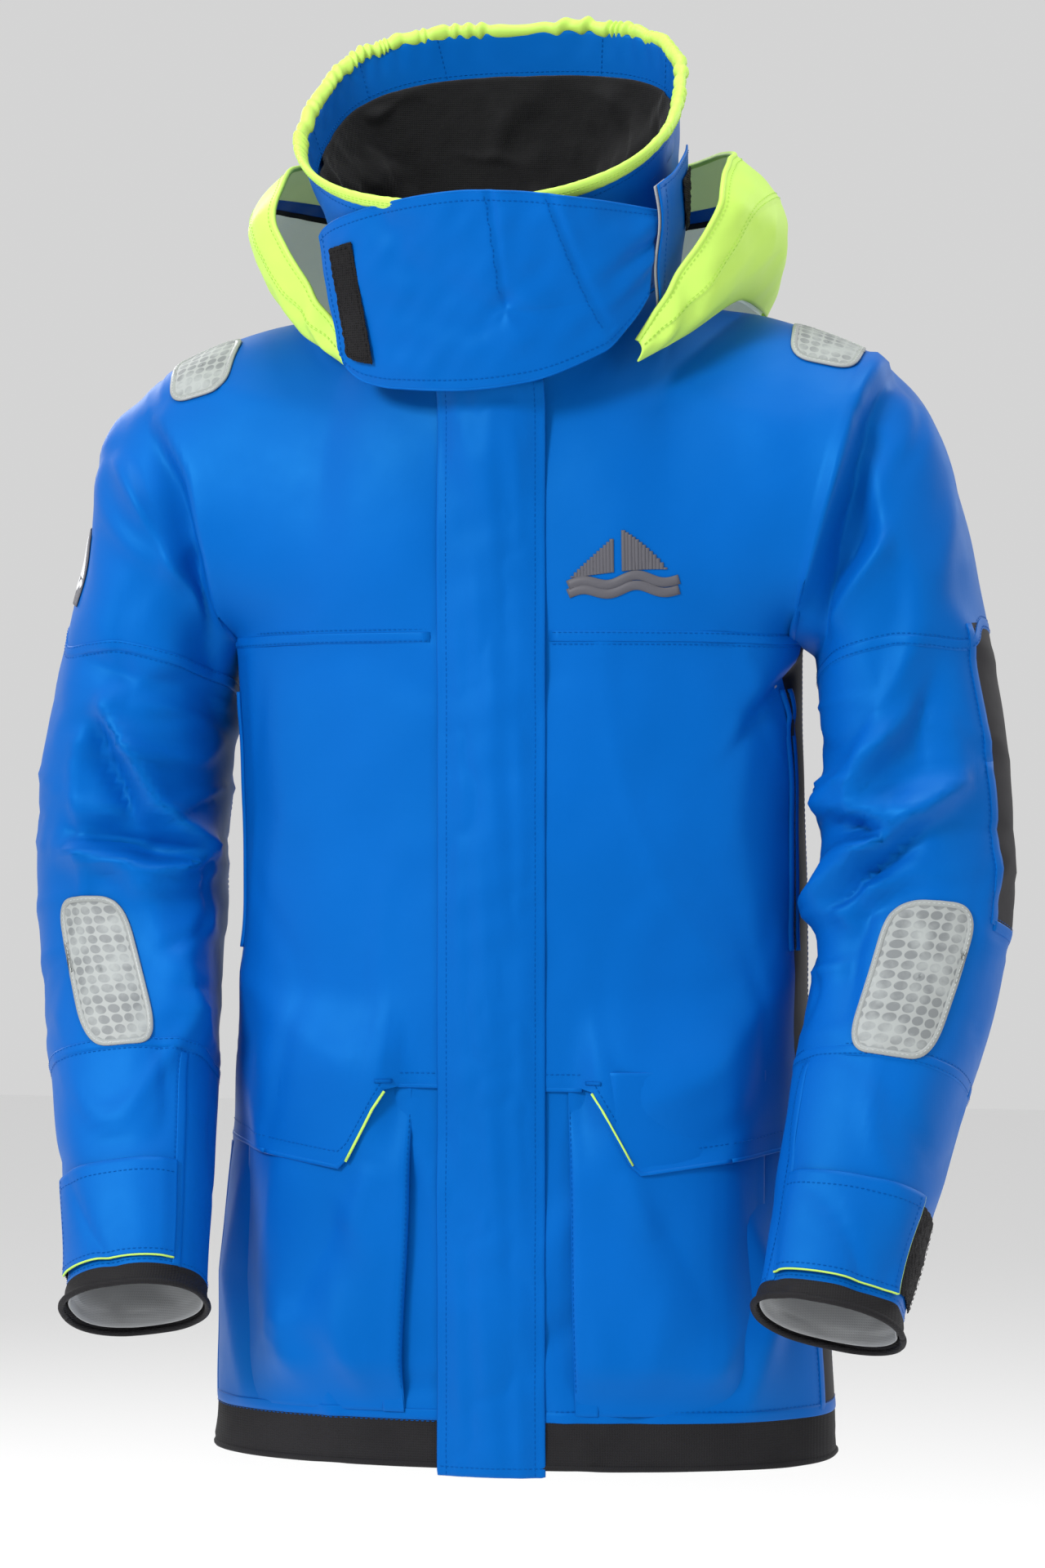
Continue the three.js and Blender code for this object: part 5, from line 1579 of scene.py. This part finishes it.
def face_guard():
    along, up = grid(GUARD_START, GUARD_END, GUARD_COLUMNS, 1, 0, GUARD_ROWS)
    base = guard(along, up)
    shape = -0.6 * np.ones_like(along)
    for start, end in DARTS:
        shape -= groove(along, up, start, end, 2.4, 1.9)
        shape += 1.2 * bump(along, start[0] - 0.035, 0.03) * smooth(up, 0.5, 1.0)
    shape += 2.6 * stretched_noise(base, (0.9, 1, 1.2), 80, 71)
    for (middle_a, middle_u), phase, count in PUCKERS:
        across, rise = (along - middle_a) * GUARD_SCALE[0], (up - middle_u) * GUARD_SCALE[1]
        fan = 0.7 * np.sin(np.arctan2(-rise, across) * count + phase) * bump(np.hypot(across, rise), 24, 26)
        shape += fan * (1 - smooth(up, 0.55, 0.9))
    shape += 0.4 * stretched_noise(base, (0.9, 1, 1.2), 17, 76) * np.sin(math.pi * along) ** 0.5
    for start, end, high in GUARD_FOLDS:
        shape -= groove(along, up, start, end, 8.5, high)
    shape += 0.5 * noise3(base, 30, 72) * smooth(along, 0, 0.1)
    shape -= 2.0 * smooth(0.06 - up, 0, 0.06) * smooth(along, 0.5, 1)
    points, outwards = guard_out(along, up, shape)
    slab("face_guard_cloth", points, 1.6, "blue", "face_guard", ["face_guard"], outwards)

    edge, edge_out = (np.concatenate([v[0], v[1:, -1], v[-1, :-1][::-1]]) for v in (points, outwards))
    strip("face_guard_hem", edge - edge_out * 0.8, edge_out, cord_section(1.05), "blue", "face_guard")
    rows = [(points[row], outwards[row]) for row in (4, -5)] + [(points[:, -4], outwards[:, -4])]
    for start, end in DARTS:
        t = np.linspace(0.02, 0.96, 40)
        a, u = mix(start[0], end[0], t) + 0.014, mix(start[1], end[1], t)
        row = ((1 - u) * (GUARD_ROWS - 1)).round().astype(int)
        column = (a - GUARD_START) / (GUARD_END - GUARD_START) * (GUARD_COLUMNS - 1)
        place = row, column.round().astype(int)
        rows.append((points[place], outwards[place]))
    sew("face_guard_stitches", "face_guard", rows)

    points, outwards = guard_out(*grid(0.802, 0.892, 22, 0.84, 0.13, 60), 1.9)
    bristle("face_guard_hook_tape", points, outwards, "face_guard", ["face_guard_hook"])
    sew("face_guard_hook_stitches", "face_guard", [inner_frame(points, outwards)], "hook", lift=0.8)


def bristle(name, points, away, rides, replaces, thickness=0.9):
    """A strip of hook or loop tape: a base with a coarse nap."""
    nap = 0.35 * noise3(points, 2.6, 73) + 0.25 * noise3(points, 6, 74)
    slab(name, points + unit(away) * (0.25 + nap)[..., None], thickness, "hook", rides, replaces, away)


def inner_frame(points, away, k=2):
    """The stitch line just inside a patch's edge, and the directions there."""
    return tuple(
        np.concatenate([v[k, k:-k], v[k:-k, -k - 1][1:], v[-k - 1, k:-k][::-1][1:], v[k:-k, k][::-1][1:]])
        for v in (points, away)
    )


def end_flap(along, up):
    """The collar's loose front end."""
    angle = np.radians(mix(53, 84, along))
    bottom, top = mix(-8, 24, along), mix(78, 112, along)
    stand = mix(19, 2.2, along)
    base = collar(angle, mix(0.18, 0.86, up))
    aside = 8 + 3 * (1 - along) * (1 - up)
    x, y = base[..., 0] + stand * np.sin(angle) + aside, base[..., 1] - stand * np.cos(angle)
    return stack(x, y, mix(bottom, top, up))


def collar_end():
    along, up = grid(0.0, 1.0, 44, 1, 0, 90)
    base = end_flap(along, up)
    outwards = unit(base - stack(0, -30, base[..., 2]))
    curl = (1 - smooth(along, 0, 0.22)) * (2.2 + 2.0 * np.sin(up * 9 + 1))
    shape = 0.4 + curl + 1.0 * noise3(base, 45, 75) * smooth(along, 0, 0.3) * (1 - smooth(along, 0.8, 1))
    points = base + outwards * shape[..., None]
    slab("collar_end_cloth", points, 1.4, "blue", "torso", ["collar_end_flap"], outwards)
    grey = points[:, :9] - outwards[:, :9] * 1.75 + (points[:, :1] - points[:, 1:2]) * 1.6
    slab("collar_end_backing", grey, 0.7, "lining", "torso", away=outwards[:, :9])
    rows = [(points[place], outwards[place]) for place in (np.s_[:, 5], 3, -4)]
    sew("collar_end_stitches", "torso", rows)
    tab = np.s_[12:46, 25:41]
    bristle("collar_loop_tape", points[tab] + outwards[tab] * 1.9, outwards[tab], "torso", ["collar_loop_tab"], 1.0)


def hanger_loop():
    """A woven strap sewn down at both ends."""
    strap = Batch()
    t = np.linspace(0, 1, 40)
    section = [(-2.5, -0.8), (-2.6, 0), (-2.2, 0.8), (0, 0.95), (2.2, 0.8), (2.6, 0), (2.5, -0.8)]
    runs = ((-29.5, 31, -29.5, 49), (29.5, 31, 29.5, 49), (-31, 47.5, 31, 47.5), (-31, 32.5, 31, 32.5))
    for x0, z0, x1, z1 in runs:
        path = stack(mix(x0, x1, t), 67.1, mix(z0, z1, t))
        strap.ribbon(path, np.broadcast_to(np.array([0, -1.0, 0]), path.shape), section)
    strap.make("hanger_strap", "rib", "torso", ["hanger_loop"])


for build in (face_guard, collar_end, hanger_loop):
    build()

# ---- Hood ----

HOOD = [
    [98, -99, -22, 101, -102, -28, 98, -99, -35],
    [125, -101, 20, 140, -88, 2, 126, -71, -15],
    [152, -86, 74, 176, -55, 56, 156, -24, 12],
    [151, -36, 106, 181, -5, 64, 162, 34, 8],
    [128, 34, 116, 162, 68, 62, 146, 82, 4],
    [76, 86, 112, 96, 120, 56, 88, 124, -8],
    [0, 100, 110, 0, 134, 52, 0, 134, -12],
]
hood_columns = [profile([(i / 6, row[c]) for i, row in enumerate(HOOD)]) for c in range(9)]


def hood(along, down):
    along, down = np.broadcast_arrays(np.asarray(along, float), np.asarray(down, float))
    at = [c(along) for c in hood_columns]
    mouth, outer, lower = (stack(*at[k : k + 3]) for k in (0, 3, 6))
    control = outer * 2 - mouth * 0.5 - lower * 0.5
    d = down[..., None]
    return mouth * (1 - d) ** 2 + control * 2 * d * (1 - d) + lower * d**2


# Strips inside the hood's mouth: look, first row, last row, and depth below the cloth's inner face. The band's look
# is the inner yellow with painted light.
HOOD_STRIPS = {"band": ("yellow_inside", 0, 15, 0.2), "strip": ("blue", 14, 19, 0.6), "tape": ("tape", 18, 22, 1.1)}
CROWN_COLUMNS, CROWN_ROWS, CROWN_HALF_WIDTH, CROWN_HANG = 121, 91, 133, 227


def hood_side(letter, flip):
    along, down = grid(0.004, 0.9975, 220, 0, 1, 60)
    base = hood(along, down)
    outwards = unit(base - stack(0, -5, 20 + 0.5 * base[..., 2]))
    gather = 1.9 * noise3(base * np.array([1.2, 1.0, 0.8]) * flip, 60, 81) + 0.8 * noise3(base * flip, 24, 82)
    tug = 1.6 * np.sin(along * 62 + down * 5) * bump(along, 0.12, 0.1)
    shape = np.minimum(gather + tug, 2.2) * smooth(along, 0.0, 0.08) * np.sin(math.pi * np.clip(down, 0.08, 1)) ** 0.4
    shape += 0.8 * smooth(down, 0.36, 0.33) * smooth(along, 0, 0.1)
    points = base + outwards * shape[..., None]
    slab(f"hood_cloth_{letter}", points * flip, 1.5, "yellow", "torso", [f"hood_roll_{letter}"], outwards * flip)
    rows = [(points[row] * flip, outwards[row] * flip) for row in (2, 17, 19)]
    sew(f"hood_stitches_{letter}", "torso", rows, "yellow_thread", lift=0.4)
    edge = (points[0] - outwards[0] * 0.8) * flip
    strip(f"hood_edge_{letter}", edge, outwards[0] * flip, cord_section(2.0, 10), "yellow", "torso")
    inner = points - outwards * 2.0
    for label, (look, first, last, depth) in HOOD_STRIPS.items():
        out = outwards[first:last, 4:]
        layer = (inner[first:last, 4:] - out * depth) * flip
        slab(f"hood_{label}_{letter}", layer, 0.9, look, "torso", away=-out * flip)
    # the lining cloth, whose look carries painted light: a lighter colour and a glow against the hood's inner shade
    out = outwards[20:, 30:]
    lining = inner[20:, 30:] - out * 3.0
    lining -= out * (0.7 + 0.7 * noise3(lining, 35, 83))[..., None]
    node = [f"hood_lining_{letter}"]
    slab(f"hood_lining_cloth_{letter}", lining * flip, 0.9, "hood_lining", "torso", node, -out * flip)


def hood_crown():
    """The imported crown: a slack folded pad that hangs behind the collar."""
    u, v = grid(-1, 1, CROWN_COLUMNS, 0, 1, CROWN_ROWS)
    width = CROWN_HALF_WIDTH * (1 - 0.42 * v**2.2)
    sag = CROWN_HANG * (1 - 0.22 * u**2)
    hang = np.sin(math.pi * v**0.8) * (1 - u**2)
    middle = stack(u * width, 142 - 21 * u**2 + 24 * hang, 22 - v * sag)
    rounding = np.clip(5 * np.minimum.reduce([1 - np.abs(u) + 0.06, v + 0.3, 1.06 - v]), 0, 1)
    pleats = 1.6 * np.sin(v * 26 + 2.2 * u**2 * 3 + 0.8 * np.sin(u * 5)) * smooth(v, 0.05, 0.2)
    pleats *= 1 - smooth(v, 0.86, 1)
    pleats += 1.8 * stretched_noise(middle, (1, 1, 1.6), 70, 84) + 0.8 * noise3(middle, 26, 85)
    front, rear = middle + stack(0, 0.5, 0), middle.copy()
    rear[..., 1] += 9.0 * rounding + np.minimum(pleats, 2.6) * rounding
    index = np.arange(u.size).reshape(u.shape)
    quads = np.stack([index[:-1, :-1], index[:-1, 1:], index[1:, 1:], index[1:, :-1]], -1).reshape(-1, 4)
    edge = around_edge(index)
    after = np.roll(edge, -1)
    sides = np.stack([edge, after, after + u.size, edge + u.size], -1)
    faces = np.concatenate([quads[:, ::-1], quads + u.size, sides])
    if np.cross(rear[1, 1] - rear[0, 0], rear[1, 0] - rear[0, 1])[1] > 0:
        faces = faces[:, ::-1]
    both = np.concatenate([front.reshape(-1, 3), rear.reshape(-1, 3)])
    pad = make("hood_pad", both, faces, "yellow", "hood_pouch", ["hood_pouch"])
    back_out = np.broadcast_to(np.array([0, 1.0, 0]), rear.shape)
    middle = CROWN_COLUMNS // 2
    places = (np.s_[:, middle - 1], np.s_[:, middle + 2], np.s_[5, 3:-3], np.s_[-5, 3:-3])
    rows = [(rear[place], back_out[place]) for place in places]
    sew("hood_pad_stitches", "hood_pouch", rows, "yellow_thread", lift=0.4)
    path = ((front + rear) / 2).reshape(-1, 3)[np.append(edge, edge[0])]
    up = np.broadcast_to(np.array([0, 1.0, 0]), path.shape)
    strip("hood_pad_piping", path, up, cord_section(1.9, 10), "yellow", "hood_pouch")
    return pad


for letter, _, flip in SIDES:
    hood_side(letter, flip)
hood_pad = hood_crown()

# ---- Cuffs, patches, badges ----


FILM_CORNER, FILM_POWER, DOT_PITCH = 9, 7.0, 8.8
FILM_BORDER = [(-2.2, -0.9), (-1.9, 0.25), (1.9, 0.25), (2.2, -0.9)]
# The reflectors of each side: the forearm's middle in degrees and its lean, then the shoulder's middle in x
# and z, and its half height
REFLECTORS = {"L": (76.0, 0.07, (214, -19), 31), "R": (87.0, 0.2, (-212, -27), 34)}


def rounded_patch(half_u, half_v, radius, rings=16):
    """Rings of (u, v) from the middle of a rectangle with rounded corners out to its edge."""
    t = np.linspace(0, 2 * math.pi, 97)[:-1]
    u = signed_power(np.cos(t), 2 / FILM_POWER) * (half_u - radius) + radius * np.cos(t)
    v = signed_power(np.sin(t), 2 / FILM_POWER) * (half_v - radius) + radius * np.sin(t)
    scale = np.linspace(0.002, 1, rings)[:, None]
    return u * scale, v * scale


def reflector(name, place, half_u, half_v, rides, node):
    """A silver film patch with a stitched border. place(u, v) gives points and normals."""
    u, v = rounded_patch(half_u, half_v, FILM_CORNER)
    points, up = place(u, v)
    slab(name, points + up * 1.5, 0.7, "reflective", rides, [node], up, True, np.stack([u, v], -1) / DOT_PITCH)
    u, v = rounded_patch(half_u - 1.0, half_v - 1.0, FILM_CORNER - 1, 2)
    points, up = place(u[-1:], v[-1:])
    ring = np.r_[np.arange(u.shape[1]), 0, 1]
    path, up = points[0, ring], up[0, ring]
    strip(name + "_border", path + up * 1.65, up, FILM_BORDER, "border", rides)
    rows = [(path + up * 1.7, up)]
    sew(name + "_stitches", rides, rows, "reflective_thread", pitch=3.2, length=2.1, lift=0.25, radius=0.3)


def reflectors(letter):
    centre, lean, middle, half_height = REFLECTORS[letter]
    ends = on_sleeve(letter, np.array([centre - 10, centre + 10]), np.array([8.2, 8.2]))[0]
    per_degree = np.linalg.norm(ends[1] - ends[0]) / 20

    def on_arm(u, v):
        return on_sleeve(letter, centre - (u + lean * v) / per_degree, 8.42 - v / 50.5)

    # on the shoulder it is found where the yoke passes through the patch's middle
    along, up = grid(0.6, 1, 81, 0.5, 1, 101)
    over = on_yoke(letter, along, up)[0]
    far = (over[..., 0] - middle[0]) ** 2 + (over[..., 2] - middle[1]) ** 2 + np.where(over[..., 1] > 0, 1e6, 0)
    nearest = np.argmin(far)

    def on_shoulder(u, v):
        return on_yoke(letter, along.flat[nearest] + u / 300, np.clip(up.flat[nearest] + v / 310, 0, 0.995))

    arm, node = f"forearm_{letter}", f"forearm_reflector_{letter}"
    reflector(f"forearm_reflector_film_{letter}", on_arm, 27.5, 64, arm, node)
    node = f"shoulder_reflector_{letter}"
    reflector(f"shoulder_reflector_film_{letter}", on_shoulder, 27, half_height, "torso", node)


def cuff_tab(letter):
    """The tab, tapered at its free end and piped along the bottom and the end, and the loop tape under it."""
    tab, forearm = f"cuff_tab_{letter}", f"forearm_{letter}"
    degrees, station = grid(30, 135, 70, 11.06, 12.1, 30)
    points, up = on_sleeve(letter, degrees, station)
    belly = 4.0 + 0.9 * noise3(points, 60, 91) * smooth(degrees, 30, 45) - 1.6 * smooth(degrees, 120, 135)
    points = points + up * belly[..., None]
    slab(f"cuff_tab_cloth_{letter}", points, 1.6, "blue", tab, [tab], up)
    sew(f"cuff_tab_stitches_{letter}", tab, [(points[at], up[at]) for at in (3, -4, np.s_[:, 3])])
    edge, edge_up = (np.concatenate([v[:, 0], v[-1][1:]]) for v in (points, up))
    down_by = np.where(np.arange(len(edge)) < len(points), 0, 0.6)
    edge = edge - edge_up * 0.9 - stack(0, 0, down_by)
    strip(f"cuff_tab_piping_{letter}", edge, edge_up, cord_section(0.85), "yellow", tab)
    points, up = on_sleeve(letter, *grid(-14, 59, 60, 11.13, 12.03, 40))
    bristle(f"cuff_loop_tape_{letter}", points + up * 1.5, up, forearm, [f"cuff_loop_patch_{letter}"])
    path, out = inner_frame(points, up)
    sew(f"cuff_loop_stitches_{letter}", forearm, [(path + out * 1.7, out)], "hook", lift=0.6)


def emblem_shapes(waves):
    """Strokes of a plain sail over waves, as lines of (u, v) with a half width."""
    t, rise = np.linspace(0, 1, 40), np.linspace(0, 1, 30)
    shapes = []
    for k in range(waves):
        shapes.append((np.stack([mix(-0.86, 0.86, t), -0.45 - 0.27 * k + 0.1 * np.sin(t * 12.6)], -1), 0.075))
    for lean, size in ((-0.5, 0.9), (0.32, 1.05)):
        for share in np.linspace(0.02, 0.98, 13):
            top = size * (share if lean < 0 else 1 - share) ** 0.8
            stroke = np.full(30, mix(lean - 0.3, lean + 0.36, share))
            shapes.append((np.stack([stroke, -0.22 + top * rise], -1), 0.032))
    return shapes


def yoke_along(x, up):
    """How far along the front yoke it reaches x, by halving."""
    low, high = np.zeros_like(x), np.ones_like(x)
    for _ in range(30):
        middle = (low + high) / 2
        less = front_yoke(middle, up)[..., 0] < x
        low, high = np.where(less, middle, low), np.where(less, high, middle)
    return low


def on_chest(u, v):
    up = 0.25 + v / 205
    return on_yoke("L", yoke_along(89.0 + u, up), up)


def on_badge(u, v):
    return on_sleeve("R", 20.0 - u / 1.62, 2.85 - v / 55.0)


def printed(name, place, half_u, half_v, rides, ground, ink, waves, node):
    """A printed mark: strokes raised a little over the cloth, on a patch if it has a ground."""
    marks, lift = Batch(), 0.5
    if ground:
        points, up = place(*grid(-half_u, half_u, 28, half_v, -half_v, 34))
        slab(name + "_ground", points + up * 1.3, 0.8, ground, rides, [node], up)
        lift = 1.4
    for line, half in emblem_shapes(waves):
        w = half * half_u
        section = [(-w, lift - 0.5), (-w * 0.96, lift + 0.3), (w * 0.96, lift + 0.3), (w, lift - 0.5)]
        marks.ribbon(*place(line[:, 0] * half_u, line[:, 1] * half_v), section)
    marks.make(name + "_marks", ink, rides, [] if ground else [node])


for letter in "LR":
    reflectors(letter)
    cuff_tab(letter)
printed("chest_emblem_print", on_chest, 42, 24, "torso", None, "print", 2, "chest_emblem")
printed("sleeve_badge_print", on_badge, 27, 26, "upper_sleeve_R", "print", "print_light", 1, "sleeve_badge")
